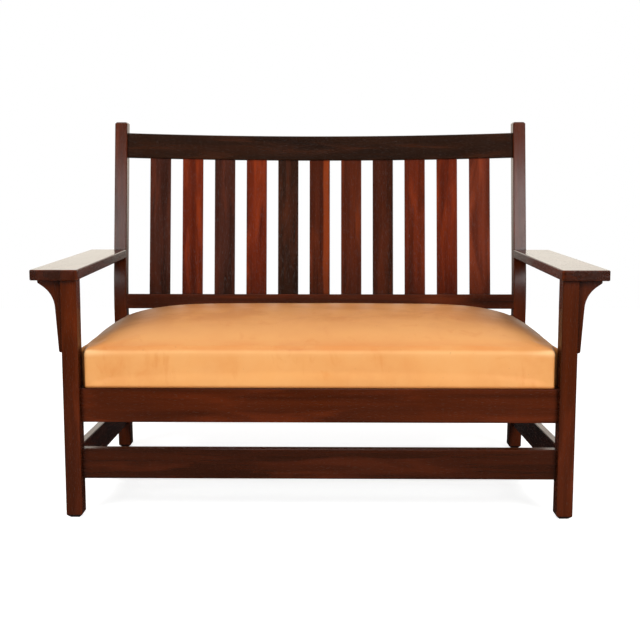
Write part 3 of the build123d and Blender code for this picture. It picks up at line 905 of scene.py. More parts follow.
def read_points(piece: bpy.types.Object) -> np.ndarray:
    """Places of a piece's vertices, modifiers included.

    Args:
        piece: A mesh piece.

    Returns:
        One row for each vertex.
    """
    shown = piece.evaluated_get(bpy.context.evaluated_depsgraph_get()).data
    points = np.empty(len(shown.vertices) * 3)
    shown.vertices.foreach_get("co", points)
    return points.reshape(-1, 3)


def write_points(piece: bpy.types.Object, points: np.ndarray) -> None:
    """Move a piece's vertices."""
    piece.data.vertices.foreach_set("co", points.ravel())
    piece.data.update()


def column(depths: np.ndarray, heights: object) -> np.ndarray:
    """Depths and heights of points, one row for each."""
    return np.column_stack([depths, np.broadcast_to(heights, depths.shape)])


@dataclass
class CushionForm:
    """The crowned form of the upholstered seat, cut back round both front legs."""

    front_wall: float = 98.5 * MM
    rear_wall: float = 99 * MM
    end_wall: float = 94.5 * MM
    edge_round: float = 13 * MM
    corner_round: float = 9 * MM
    shoulder_round: float = 23 * MM
    notch_round: float = 13 * MM
    notch_width: float = 24 * MM
    notch_depth: float = 28 * MM
    notch_step: float = 0.4 * MM
    notch_reach: float = 8 * MM
    notch_fade: float = 12 * MM
    row_gap: float = 2 * MM
    crown_power: float = 6.0
    lip: float = 22 * MM
    lip_height: float = 3 * MM
    cells_along: int = 150
    shoulder_cells: int = 12
    notch_cells: int = 6
    strip_cells: int = 7
    crown_cells: int = 78
    round_cells: int = 7
    wall_cells: int = 15

    def __post_init__(self) -> None:
        """Take the overall size from the frame."""
        low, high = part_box("seat_leather")
        self.half, self.front, self.rear = high.x, low.y, high.y
        self.base, self.top = low.z, high.z
        self.side = self.half - self.notch_width
        self.notch = self.front + self.notch_depth
        self.tall = self.wall_cells + self.strip_cells
        self.wide = self.crown_cells + 2 * self.round_cells

    def stations(self) -> np.ndarray:
        """Places along the settle where the form has a section.

        Returns:
            The places from left to right.
        """
        turns = np.linspace(0, pi / 2, self.shoulder_cells + 1)
        shoulder = self.half - self.shoulder_round * (1 - np.sin(turns))
        turns = np.linspace(0, pi / 2, self.notch_cells + 1)
        corner = self.side - self.notch_step - self.corner_round * (1 - np.sin(turns))
        middle = np.linspace(-corner[0], corner[0], self.cells_along + 1)
        outer = np.concatenate([corner[1:], [self.side + self.notch_step], shoulder])
        return np.concatenate([-outer[::-1], middle, outer])

    @staticmethod
    def drawn_in(radius: float, distance: float) -> float:
        """How far a rounded edge has drawn in, at a distance from its end."""
        short = min(max(radius - distance, 0.0), radius)
        return radius - sqrt(radius ** 2 - short ** 2)

    def crown(self, x: float, y: np.ndarray) -> tuple[np.ndarray, np.ndarray]:
        """Height and slope of the top, as if it ran on over the notches.

        Args:
            x: Where the section is.
            y: Depths along it.

        Returns:
            Heights, and how steeply they rise towards the middle.
        """
        drop = self.drawn_in(self.shoulder_round, self.half - abs(x))
        swell = 1 - (abs(x) / self.half) ** self.crown_power
        crown = self.end_wall + (self.top - self.base - self.end_wall) * swell
        middle, half_depth = (self.front + self.rear) / 2, (self.rear - self.front) / 2
        share = (y - middle) / half_depth
        edge = np.where(share < 0, self.front_wall, self.rear_wall)
        heights = self.base - drop + edge + (crown - edge) * (1 - share ** 2)
        return heights, 2 * (crown - edge) * np.abs(share) / half_depth

    def outline(self, x: float) -> tuple[float, float]:
        """Front and rear of the section at a place along the settle.

        Args:
            x: Where the section is.

        Returns:
            Both depths.
        """
        inset = self.drawn_in(self.corner_round, self.half - abs(x))
        front = self.front + self.drawn_in(self.corner_round, self.side - abs(x))
        return self.notch + inset if abs(x) > self.side else front, self.rear - inset

    def wall(self, x: float, depth: float, side: int, cells: int) -> np.ndarray:
        """One wall of a section and the turn at its top.

        Args:
            x: Where the section is.
            depth: Where the wall stands.
            side: -1 for the front wall and 1 for the rear one.
            cells: Rows of faces up the wall.

        Returns:
            Depths and heights from the base up.
        """
        heights, slopes = self.crown(x, np.array([depth]))
        slope, turn = float(np.arctan(slopes[0])), self.edge_round
        angles = np.linspace(0, pi / 2 - slope, self.round_cells + 1)
        arc = column(depth - side * turn * (1 - np.cos(angles)),
                     heights[0] - turn * (cos(slope) - np.sin(angles)))
        foot = np.linspace(self.base, arc[0, 1], cells + 1)[:-1]
        return np.vstack([column(np.full(cells, depth), foot), arc])

    def walls_and_top(self, x: float) -> np.ndarray:
        """Outline of one section, up the front, over the top and down the rear.

        Args:
            x: Where the section is.

        Returns:
            Depths and heights, one row for each point.
        """
        front, rear = self.outline(x)
        back = self.wall(x, rear, 1, self.tall)[::-1]
        start = self.notch + self.edge_round + self.row_gap
        if abs(x) > self.side:
            fore = self.wall(x, front, -1, self.tall)
            start = fore[-1][0] + self.row_gap
        else:
            wall = self.wall(x, front, -1, self.wall_cells)
            ys = np.linspace(wall[-1][0], start, self.strip_cells + 2)[1:-1]
            fore = np.vstack([wall, column(ys, self.crown(x, ys)[0])])
            turned = self.drawn_in(self.notch_round, self.side - abs(x))
            limit = self.notch + self.notch_reach
            ahead = np.clip((limit - fore[:, 0]) / self.notch_fade, 0, 1)
            high = np.clip((fore[:, 1] - self.base) / self.front_wall, 0, 1)
            fore[:, 1] -= turned * ahead * high
        ys = np.linspace(start, back[0][0] - self.row_gap, self.crown_cells - 1)
        return np.vstack([fore, column(ys, self.crown(x, ys)[0]), back])

    def underside(self, x: float, front: float, rear: float) -> np.ndarray:
        """Base of one section from rear to front, raised inside the turned-under margin.

        Args:
            x: Where the section is.
            front: The section's front.
            rear: The section's rear.

        Returns:
            Depths and heights, one row for each point.
        """
        ys = np.linspace(rear, front, self.wide + 1)[1:-1]
        start = front if abs(x) < self.side - self.lip else self.notch
        inside = (ys - start > self.lip) & (rear - ys > self.lip)
        inside &= self.half - abs(x) >= self.lip
        return column(ys, self.base + np.where(inside, self.lip_height, 0.0))

    def sections(self) -> np.ndarray:
        """Closed sections, one for each station.

        Returns:
            The points, by section.
        """
        rows = []
        for x in self.stations():
            over = self.walls_and_top(x)
            loop = np.vstack([over, self.underside(x, over[0][0], over[-1][0])])
            rows.append(np.column_stack([np.full(len(loop), x), loop]))
        return np.array(rows)

    def end_faces(self, loop: np.ndarray, first: int, start: int,
                  flip: bool) -> tuple[np.ndarray, Faces]:
        """Close one end with a grid between its walls, top and base.

        Args:
            loop: The end section's points.
            first: Number of the section's first vertex.
            start: Number of the first new vertex.
            flip: Whether the faces turn the other way.

        Returns:
            New points and faces.
        """
        tall, wide = self.tall, self.wide
        grid = np.zeros((tall + 1, wide + 1), int)
        grid[:, 0] = np.arange(tall + 1)
        grid[tall, :] = tall + np.arange(wide + 1)
        grid[:, wide] = 2 * tall + wide - np.arange(tall + 1)
        grid[0, 1:wide] = len(loop) - np.arange(1, wide)
        rim = loop[grid]
        low, high, left, right = rim[:1], rim[-1:], rim[:, :1], rim[:, -1:]
        up = np.linspace(0, 1, tall + 1)[:, None, None]
        along = np.linspace(0, 1, wide + 1)[None, :, None]
        corners = ((1 - up) * ((1 - along) * low[:, :1] + along * low[:, -1:])
                   + up * ((1 - along) * high[:, :1] + along * high[:, -1:]))
        filled = (1 - along) * left + along * right + (1 - up) * low + up * high - corners
        points = filled[1:-1, 1:-1].reshape(-1, 3)
        grid += first
        grid[1:-1, 1:-1] = start + np.arange(len(points)).reshape(tall - 1, wide - 1)
        corner = (grid[:-1, :-1], grid[:-1, 1:], grid[1:, 1:], grid[1:, :-1])
        loops = np.stack(corner[::-1] if flip else corner, -1).reshape(-1, 4)
        return points, [tuple(face) for face in loops.tolist()]

    def mesh(self) -> tuple[np.ndarray, Faces]:
        """The closed form.

        Returns:
            Points, and faces that turn outwards.
        """
        sections = self.sections()
        rows, count = sections.shape[:2]
        points, faces = [sections.reshape(-1, 3)], []
        for a in range(0, (rows - 1) * count, count):
            for i in range(count):
                j = (i + 1) % count
                faces.append((a + i, a + count + i, a + count + j, a + j))
        start = rows * count
        for row, flip in ((0, True), (rows - 1, False)):
            new, more = self.end_faces(sections[row], row * count, start, flip)
            points.append(new)
            faces += more
            start += len(new)
        return np.vstack(points), faces


@dataclass
class Upholstery:
    """The leather cover, its stuffing and the seat's own frame."""

    form: CushionForm
    pressure: float = 4.0
    frames: int = 20
    cap: float = 3.2 * MM
    held: float = 4 * MM
    shrink: float = 2 * MM
    unevenness: float = 1.6 * MM
    rises: tuple[float, float] = (5.5, 8.0)
    rise_seed: float = 3.0
    rise_shift: float = 0.35
    top_share: float = 0.9
    top_fade: float = 20 * MM
    end_fade: float = 60 * MM
    hide: float = 2.5 * MM
    leg_reach: float = 40 * MM
    leg_fade: float = 25 * MM
    fill: float = 0.85

    def relax(self, piece: bpy.types.Object) -> None:
        """Let the cover swell a little under pressure, held along its base.

        Args:
            piece: The cover.
        """
        start = read_points(piece)
        held = np.nonzero(start[:, 2] < self.form.base + self.held)[0]
        group = piece.vertex_groups.new(name="held")
        group.add(held.tolist(), 1.0, "REPLACE")
        cloth = piece.modifiers.new("swell", "CLOTH")
        for name, value in {
                "quality": 6, "mass": 0.4, "tension_stiffness": 60, "compression_stiffness": 60,
                "shear_stiffness": 30, "bending_stiffness": 2, "use_pressure": True,
                "uniform_pressure_force": self.pressure, "vertex_group_mass": group.name}.items():
            setattr(cloth.settings, name, value)
        cloth.settings.effector_weights.gravity = 0
        cloth.collision_settings.use_collision = False
        cloth.point_cache.frame_start, cloth.point_cache.frame_end = 1, self.frames
        scene = bpy.context.scene
        for number in range(1, self.frames + 1):
            scene.frame_set(number)
        moved = read_points(piece) - start
        piece.modifiers.remove(cloth)
        piece.vertex_groups.remove(group)
        scene.frame_set(1)
        length = np.linalg.norm(moved, axis=1, keepdims=True)
        moved *= np.minimum(1.0, self.cap / np.maximum(length, 1e-9))
        write_points(piece, start + moved * self.free_of_legs(start))
        LOG.info("cover swelled by up to %.1f mm", float(length.max()) / MM)

    def free_of_legs(self, points: np.ndarray) -> np.ndarray:
        """How far each point may move, which is not at all beside the front legs.

        Args:
            points: The cover's points.

        Returns:
            One share from 0 to 1 for each point.
        """
        beside = np.abs(points[:, 0]) - self.form.side + self.leg_reach
        ahead = self.form.notch + self.leg_reach - points[:, 1]
        shares = [np.clip(depth / self.leg_fade, 0, 1) for depth in (beside, ahead)]
        return (1 - shares[0] * shares[1])[:, None]

    def settle_top(self, piece: bpy.types.Object) -> None:
        """Give the top the shallow rises and hollows of a used seat.

        Args:
            piece: The cover.
        """
        form, points = self.form, read_points(piece)
        along, across = self.rises
        lift = np.array([noise.noise(Vector((x * along, y * across, self.rise_seed)))
                         for x, y, _ in points])
        above = points[:, 2] - form.base - self.top_share * form.front_wall
        on_top = np.clip(above / self.top_fade, 0, 1)
        inside = np.clip((form.half - np.abs(points[:, 0])) / self.end_fade, 0, 1)
        points[:, 2] += (lift - self.rise_shift) * self.unevenness * on_top * inside
        write_points(piece, points)

    def leather(self) -> bpy.types.Object:
        """Build the cover, drawn in a little so that it can swell.

        Returns:
            The new piece.
        """
        form = self.form
        finish = TanLeather("tan leather", form.front, form.base, form.base + form.front_wall,
                            form.side, form.notch)
        points, faces = form.mesh()
        middle = np.array([0, (form.front + form.rear) / 2, form.base])
        size = np.array([form.half, (form.rear - form.front) / 2, form.top - form.base])
        shares = np.tile(1 - self.shrink / size, (len(points), 1))
        shares[np.abs(points[:, 0]) <= form.side + form.notch_step + 0.1 * MM, 0] = 1.0
        points = middle + (points - middle) * shares
        piece = mesh_piece("leather_cover", points, faces, finish.material())
        self.relax(piece)
        self.settle_top(piece)
        return piece

    def stuffing(self, cover: bpy.types.Object) -> bpy.types.Object:
        """Build the stuffing a little inside the cover.

        Args:
            cover: The finished cover.

        Returns:
            The new piece.
        """
        piece = show("stuffing", cover.data.copy())
        piece.data.name = "stuffing"
        normals = np.array([v.normal for v in piece.data.vertices])
        write_points(piece, read_points(cover) - normals * self.hide)
        piece.data.materials.clear()
        piece.data.materials.append(Stuffing("stuffing").material())
        return piece

    def build(self) -> None:
        """Build and finish the seat."""
        cover = self.leather()
        for piece, node, slot in ((cover, "seat_leather", "leather"),
                                  (self.stuffing(cover), "seat_padding", "stuffing")):
            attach(piece, "seat")
            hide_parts(node)
            LOG.info("%s: %d vertices", piece.name, len(piece.data.vertices))
        members = {"seat_frame_front": Run.ALONG, "seat_frame_rear": Run.ALONG,
                   "seat_frame_left": Run.DEPTH, "seat_frame_right": Run.DEPTH,
                   "seat_brace_1": Run.DEPTH, "seat_brace_2": Run.DEPTH}
        for seed, (node, run) in enumerate(members.items(), 60):
            dress(node, RawWood(node, run, seed))


@dataclass(frozen=True)
class Webbing:
    """Where the strips run under the springs."""

    rows: int = 3
    columns: int = 5
    width: float = 50 * MM

    def lines(self) -> tuple[np.ndarray, np.ndarray]:
        """Middles of the strips.

        Returns:
            Depths of the long ones, and places of the cross ones along the settle.
        """
        (low, high), (near, far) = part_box("webbing_lengthwise"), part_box("webbing_crosswise")
        half = self.width / 2
        return (np.linspace(low.y + half, high.y - half, self.rows),
                np.linspace(near.x + half, far.x - half, self.columns))


@dataclass
class SeatCloths:
    """Webbing, burlap and dust cover, each a sheet of its own real size."""

    form: CushionForm
    webbing: Webbing
    thickness: float = 1 * MM
    step: float = 15 * MM
    margin: float = 12 * MM
    rim: float = 40 * MM
    rim_fade: float = 160 * MM
    slack: tuple[float, float] = (0.85, 0.3)
    slack_scale: float = 6.0
    wave: float = 0.5 * MM
    wave_gain: float = 2.2
    burlap_sag: float = 0.4 * MM
    cover_sag: float = 5 * MM

    def grid_lines(self, *places: float) -> np.ndarray:
        """Grid lines through given places, with more between them.

        Args:
            places: The places.

        Returns:
            Every line's place.
        """
        parts = [np.linspace(a, b, max(2, round((b - a) / self.step)) + 1)[:-1]
                 for a, b in zip(places, places[1:])]
        return np.concatenate([*parts, [places[-1]]])

    def slab(self, name: str, xs: np.ndarray, ys: np.ndarray, height: Callable,
             finish: Cloth, cut: Callable | None = None) -> bpy.types.Object:
        """A closed sheet over a grid, with cells left out where it is cut away.

        Args:
            name: The piece's name.
            xs: Grid lines along the settle.
            ys: Grid lines from front to rear.
            height: Height of the underside at a place.
            finish: The sheet's finish.
            cut: Tells whether the cell around a place is left out.

        Returns:
            The new piece.
        """
        deep, above = len(ys), len(xs) * len(ys)
        under = np.array([(x, y, height(x, y)) for x in xs for y in ys])
        points = np.vstack([under, under + [0, 0, self.thickness]])
        faces, edges = [], {}
        for i, x in enumerate((xs[:-1] + xs[1:]) / 2):
            for j, y in enumerate((ys[:-1] + ys[1:]) / 2):
                if cut and cut(x, y):
                    continue
                a, b = i * deep + j, (i + 1) * deep + j
                loop = (a, a + 1, b + 1, b)
                faces += [loop, tuple(v + above for v in loop[::-1])]
                edges |= dict.fromkeys(zip(loop, loop[1:] + loop[:1]))
        faces += [(b, a, a + above, b + above) for a, b in edges if (b, a) not in edges]
        used = sorted({v for face in faces for v in face})
        number = {v: index for index, v in enumerate(used)}
        return mesh_piece(name, points[used], [tuple(number[v] for v in f) for f in faces],
                          finish.material())

    def strips(self) -> None:
        """Weave the webbing, each strip over one and under the next."""
        (low, high), (near, far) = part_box("webbing_lengthwise"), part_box("webbing_crosswise")
        rows, columns = self.webbing.lines()
        half, middle = self.webbing.width / 2, (low.z + near.z) / 2
        finish = Cloth("jute webbing", 700.0, (132, 106, 72), (176, 150, 110), 0.5 * MM)

        def level(place: float, crossings: np.ndarray, start: int) -> float:
            """Go up or down at each crossing, smoothly between them.

            Args:
                place: Place along the strip.
                crossings: Places of the strips that it crosses.
                start: 0 to begin above the first one, 1 below it.

            Returns:
                Height of the strip's underside.
            """
            turn = (place - crossings[0]) / (crossings[1] - crossings[0])
            swing = cos(pi * min(max(turn, 0.0), len(crossings) - 1.0)) * self.wave_gain
            return middle + self.wave * (1 - 2 * start) * max(-1.0, min(1.0, swing))

        for row, y in enumerate(rows):
            piece = self.slab(f"webbing_long_{row + 1}", self.grid_lines(low.x, high.x),
                              np.linspace(y - half, y + half, 5),
                              lambda x, _, r=row: level(x, columns, r % 2), finish)
            self.declare(piece, "webbing_lengthwise", (2 * half, high.x - low.x),
                         ("left", "right"))
        for number, x in enumerate(columns, 1):
            piece = self.slab(f"webbing_cross_{number}", np.linspace(x - half, x + half, 5),
                              self.grid_lines(near.y, far.y),
                              lambda _, y, c=number: level(y, rows, c % 2), finish)
            self.declare(piece, "webbing_crosswise", (2 * half, far.y - near.y),
                         ("front", "rear"))

    @staticmethod
    def declare(piece: bpy.types.Object, node: str, flat: tuple[float, float],
                members: tuple[str, ...], area: float | None = None) -> None:
        """Attach a sheet to the seat, hide the node that it stands for and log its flat size.

        Args:
            piece: The sheet.
            node: The node that it replaces.
            flat: Its width and length when flat.
            members: The members of the seat's frame that it is held by; not used.
            area: Its area, where it isn't a rectangle; not used.
        """
        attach(piece, "seat")
        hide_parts(node)
        LOG.info("%s: %.3f by %.3f m", piece.name, *flat)

    def notched(self, name: str, node: str, finish: Cloth, drop: float) -> None:
        """Make a sheet with the seat's outline, cut round both front legs.

        Args:
            name: The piece's name.
            node: The node that it stands for.
            finish: Its finish.
            drop: How far it hangs in the middle.
        """
        low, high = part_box(node)
        side, step = self.form.side - self.margin, self.form.notch + self.margin

        def height(x: float, y: float) -> float:
            """Lie level at the rim and slack inside the seat's frame.

            Args:
                x: Place along the settle.
                y: Depth.

            Returns:
                Height of the sheet's underside.
            """
            insets = (high.x - abs(x), min(y - low.y, high.y - y))
            along, across = (sin(min(max(inset - self.rim, 0.0) / self.rim_fade, 1.0) * pi / 2)
                             for inset in insets)
            least, spread = self.slack
            spot = Vector((x * self.slack_scale, y * self.slack_scale, 1.0))
            return low.z - drop * along * across * (least + spread * noise.noise(spot))

        piece = self.slab(name, self.grid_lines(low.x, -side, side, high.x),
                          self.grid_lines(low.y, step, high.y), height, finish,
                          lambda x, y: abs(x) > side and y < step)
        flat = (high.x - low.x, high.y - low.y)
        area = flat[0] * flat[1] - 2 * (high.x - side) * (step - low.y)
        self.declare(piece, node, flat, ("front", "rear", "left", "right"), area)

    def build(self) -> None:
        """Make every sheet."""
        self.strips()
        burlap = Cloth("burlap", 450.0, (120, 92, 56), (164, 134, 92), 0.6 * MM)
        cambric = Cloth("cambric", 1500.0, (18, 18, 19), (34, 33, 34), 0.2 * MM)
        self.notched("burlap", "seat_burlap", burlap, self.burlap_sag)
        self.notched("dust_cover", "seat_dust_cover", cambric, self.cover_sag)


# Repeated hardware


class Repeats:
    """A geometry node tree with named inputs that puts one form at many places."""

    KINDS = {float: "NodeSocketFloat", int: "NodeSocketInt",
             bpy.types.Material: "NodeSocketMaterial"}
    SHAPE = "NodeSocketGeometry"

    def __init__(self, name: str, inputs: dict[str, object]) -> None:
        """Begin the tree.

        Args:
            name: The tree's name.
            inputs: Value of each named input.
        """
        self.name, self.values = name, inputs
        self.tree = bpy.data.node_groups.new(name, "GeometryNodeTree")
        kinds = {label: self.KINDS[type(value)] for label, value in inputs.items()}
        add_sockets(self.tree, {"Geometry": self.SHAPE} | kinds, {"Geometry": self.SHAPE})
        self.graph = Graph(self.tree)
        self.given = self.graph.read("NodeGroupInput")

    def finish(self, places: Value, form: Value, **turns: Value) -> None:
        """Put the form at each place and join everything into one mesh.

        Args:
            places: The points.
            form: What stands at each of them.
            turns: The Rotation or Scale of each one.
        """
        graph = self.graph
        spread = graph.get("GeometryNodeInstanceOnPoints", {
            "Points": places, "Instance": form, **turns})
        real = graph.get("GeometryNodeRealizeInstances", {"Geometry": spread})
        graph.give(Geometry=graph.get("GeometryNodeSetMaterial", {
            "Geometry": real, "Material": self.given["Finish"]}))

    def apply(self, name: str, points: list, edges: list, axes: list | None = None,
              smooth: bool = True) -> bpy.types.Object:
        """Run the tree on a set of places and keep the result as a plain mesh.

        Args:
            name: Name of the piece.
            points: The places.
            edges: Lines between them.
            axes: Which way the form's own Z axis points at each place.
            smooth: Whether it is shaded smooth.

        Returns:
            The new piece.
        """
        mesh = bpy.data.meshes.new(f"{name}_places")
        mesh.from_pydata([tuple(p) for p in points], edges, [])
        if axes:
            turned = mesh.attributes.new("axis", "FLOAT_VECTOR", "POINT")
            turned.data.foreach_set("vector", [value for axis in axes for value in axis])
        holder = show(f"{name}_places", mesh)
        modifier = holder.modifiers.new(self.name, "NODES")
        modifier.node_group = self.tree
        for item in self.tree.interface.items_tree:
            if item.in_out == "INPUT" and item.name in self.values:
                modifier[item.identifier] = self.values[item.name]
        graph = bpy.context.evaluated_depsgraph_get()
        made = bpy.data.meshes.new_from_object(holder.evaluated_get(graph), depsgraph=graph)
        made.name = name
        made.polygons.foreach_set("use_smooth", [smooth] * len(made.polygons))
        bpy.data.objects.remove(holder)
        LOG.info("%s: %d vertices", name, len(made.vertices))
        return show(name, made)


def screw_seats(node: str) -> list[tuple[Vector, Vector]]:
    """Where the heads of a node's screws sit and which way they face.

    Args:
        node: A node that is a group of plain screws.

    Returns:
        Place under each head and its outward direction.
    """
    form = bmesh.new()
    form.from_mesh(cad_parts[node].data)
    bmesh.ops.remove_doubles(form, verts=form.verts, dist=0.001 * MM)
    left, seats = set(form.verts), []
    while left:
        group, reached = [], [left.pop()]
        while reached:
            vertex = reached.pop()
            group.append(vertex.co.copy())
            near = {edge.other_vert(vertex) for edge in vertex.link_edges} & left
            left -= near
            reached += near
        points = np.array(group)
        run = int(np.argmax(np.ptp(points, axis=0)))
        centre = (points.min(axis=0) + points.max(axis=0)) / 2
        reach = np.linalg.norm(np.delete(points - centre, run, axis=1), axis=1)
        head = points[reach > 0.8 * reach.max(), run]
        way = 1.0 if head.mean() > centre[run] else -1.0
        centre[run] = head.min() if way > 0 else head.max()
        axis = Vector((0, 0, 0))
        axis[run] = way
        seats.append((Vector(centre), axis))
    form.free()
    return sorted(seats, key=lambda seat: tuple(seat[0]))


@dataclass
class Hardware:
    """Screws, springs and tacks, each made once and repeated."""

    form: CushionForm
    webbing: Webbing
    shank_share: float = 0.495
    tack_inset: float = 7 * MM
    tack_margin: float = 19 * MM
    least_tack: float = 0.88

    def screws(self) -> None:
        """Slotted round-head screws, with their slots turned at random."""
        made = Repeats("slotted screws", {
            "Head Radius": 4.2 * MM, "Head Height": 2.6 * MM, "Slot Width": 1.1 * MM,
            "Slot Depth": 1.3 * MM, "Shank Radius": 2.2 * MM, "Length": 19 * MM, "Seed": 7,
            "Finish": Steel("screw steel", (120, 116, 108), 0.1).material()})
        graph, given = made.graph, made.given
        radius, height = given["Head Radius"], given["Head Height"]
        wide = radius * 3.0
        ball = graph.get("GeometryNodeMeshUVSphere", {"Segments": 24, "Rings": 14,
                                                      "Radius": radius})
        dome = graph.changed(ball, "Scale", 1.0, 1.0, height / radius)
        block = graph.get("GeometryNodeMeshCube", {"Size": graph.join(wide, wide, wide)})
        block = graph.changed(block, "Translation", 0.0, 0.0, wide * -0.5)
        slot = graph.get("GeometryNodeMeshCube", {
            "Size": graph.join(wide, given["Slot Width"], given["Slot Depth"] * 2.0)})
        slot = graph.changed(slot, "Translation", 0.0, 0.0, height)
        head = graph.get("GeometryNodeMeshBoolean", {"Mesh 1": dome, "Mesh 2": [block, slot]},
                         operation="DIFFERENCE")
        shank = graph.get("GeometryNodeMeshCylinder", {
            "Vertices": 12, "Radius": given["Shank Radius"], "Depth": given["Length"]})
        sunk = given["Length"] * -self.shank_share
        shank = graph.changed(shank, "Translation", 0.0, 0.0, sunk)
        whole = graph.get("GeometryNodeJoinGeometry", {"Geometry": [head, shank]})
        axis = graph.get("GeometryNodeInputNamedAttribute", {"Name": "axis"}, "Attribute",
                         data_type="FLOAT_VECTOR")
        aimed = graph.get("FunctionNodeAlignRotationToVector", {"Vector": axis}, axis="Z")
        turn = graph.join(0.0, 0.0, graph.random(0.0, pi, given["Seed"]))
        turned = graph.get("FunctionNodeRotateRotation", {
            "Rotation": aimed, "Rotate By": graph.get("FunctionNodeEulerToRotation", {
                "Euler": turn})}, rotation_space="LOCAL")
        made.finish(given["Geometry"], whole, Rotation=turned)
        nodes = ("corner_block_screws", "seat_cleat_screws")
        seats = [seat for node in nodes for seat in screw_seats(node)]
        piece = made.apply("frame_screws", [place for place, _ in seats], [],
                           [axis for _, axis in seats], smooth=False)
        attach(piece, "frame")
        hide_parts(*nodes)

    def springs(self) -> None:
        """Waisted coils of round wire, one on each crossing of the webbing."""
        low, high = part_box("seat_springs")
        wire = 3.6 * MM
        made = Repeats("waisted springs", {
            "Wire": wire, "End Radius": 34 * MM, "Waist Radius": 24 * MM, "Turns": 4.0,
            "Height": high.z - low.z - wire,
            "Finish": Steel("spring steel", (128, 124, 116), 0.06).material()})
        graph, given = made.graph, made.given
        radius, height = given["End Radius"], given["Height"]
        coil = graph.get("GeometryNodeCurveSpiral", {
            "Resolution": 28, "Rotations": given["Turns"], "Start Radius": radius,
            "End Radius": radius, "Height": height})
        x, y, z = graph.get("GeometryNodeInputPosition").parts()
        loss = 1.0 - given["Waist Radius"] / radius
        factor = 1.0 - graph.math("SINE", z / height * pi) * loss
        waisted = graph.get("GeometryNodeSetPosition", {
            "Geometry": coil, "Position": graph.join(x * factor, y * factor, z)})
        ring = graph.get("GeometryNodeCurvePrimitiveCircle", {
            "Resolution": 8, "Radius": given["Wire"] * 0.5})
        solid = graph.get("GeometryNodeCurveToMesh", {
            "Curve": waisted, "Profile Curve": ring, "Fill Caps": True})
        made.finish(given["Geometry"], solid)
        rows, columns = self.webbing.lines()
        places = [(x, y, low.z + wire / 2) for x in columns for y in rows]
        piece = made.apply("coil_springs", places, [])
        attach(piece, "seat")
        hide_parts("seat_springs")

    def tacks(self) -> None:
        """Flat tack heads along the dust cover's edge."""
        made = Repeats("tack heads", {
            "Spacing": 38 * MM, "Head Radius": 3.0 * MM, "Head Height": 0.24 * MM,
            "Seed": 11, "Finish": Steel("tack steel", (92, 90, 88), 0.12).material()})
        graph, given = made.graph, made.given
        line = graph.get("GeometryNodeMeshToCurve", {"Mesh": given["Geometry"]})
        spots = graph.get("GeometryNodeCurveToPoints", {"Curve": line,
                                                        "Length": given["Spacing"]},
                          "Points", mode="LENGTH")
        ball = graph.get("GeometryNodeMeshUVSphere", {"Segments": 14, "Rings": 6,
                                                      "Radius": given["Head Radius"]})
        head = graph.changed(ball, "Scale", 1.0, 1.0, given["Head Height"] / given["Head Radius"])
        size = graph.random(self.least_tack, 1.0, given["Seed"])
        made.finish(spots, head, Scale=graph.join(size, size, 1.0))
        low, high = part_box("seat_dust_cover")
        side, step = self.form.side - self.tack_margin, self.form.notch + self.tack_margin
        end = high.x - self.tack_inset
        outline = [(side, low.y + self.tack_inset), (side, step), (end, step),
                   (end, high.y - self.tack_inset)]
        outline += [(-x, y) for x, y in reversed(outline)]
        edges = [(i, (i + 1) % len(outline)) for i in range(len(outline))]
        piece = made.apply("dust_cover_tacks", [(x, y, low.z) for x, y in outline], edges)
        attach(piece, "seat")

    def build(self) -> None:
        """Make all the hardware."""
        self.screws()
        self.springs()
        self.tacks()


# Studio


@dataclass(frozen=True)
class SoftBox:
    """A square lamp."""

    name: str
    place: tuple[float, float, float]
    aim: tuple[float, float, float]
    power: float
    size: float
    mirrored: bool = True

    def hang(self) -> None:
        """Put the lamp into the scene, out of the camera's sight."""
        lamp = bpy.data.lights.new(self.name, "AREA")
        lamp.shape, lamp.size, lamp.energy = "SQUARE", self.size, self.power
        box = show(self.name, lamp)
        box.visible_glossy, box.visible_camera = self.mirrored, False
        box.location = self.place
        way = Vector(self.aim) - Vector(self.place)
        box.rotation_euler = way.to_track_quat("-Z", "Y").to_euler()


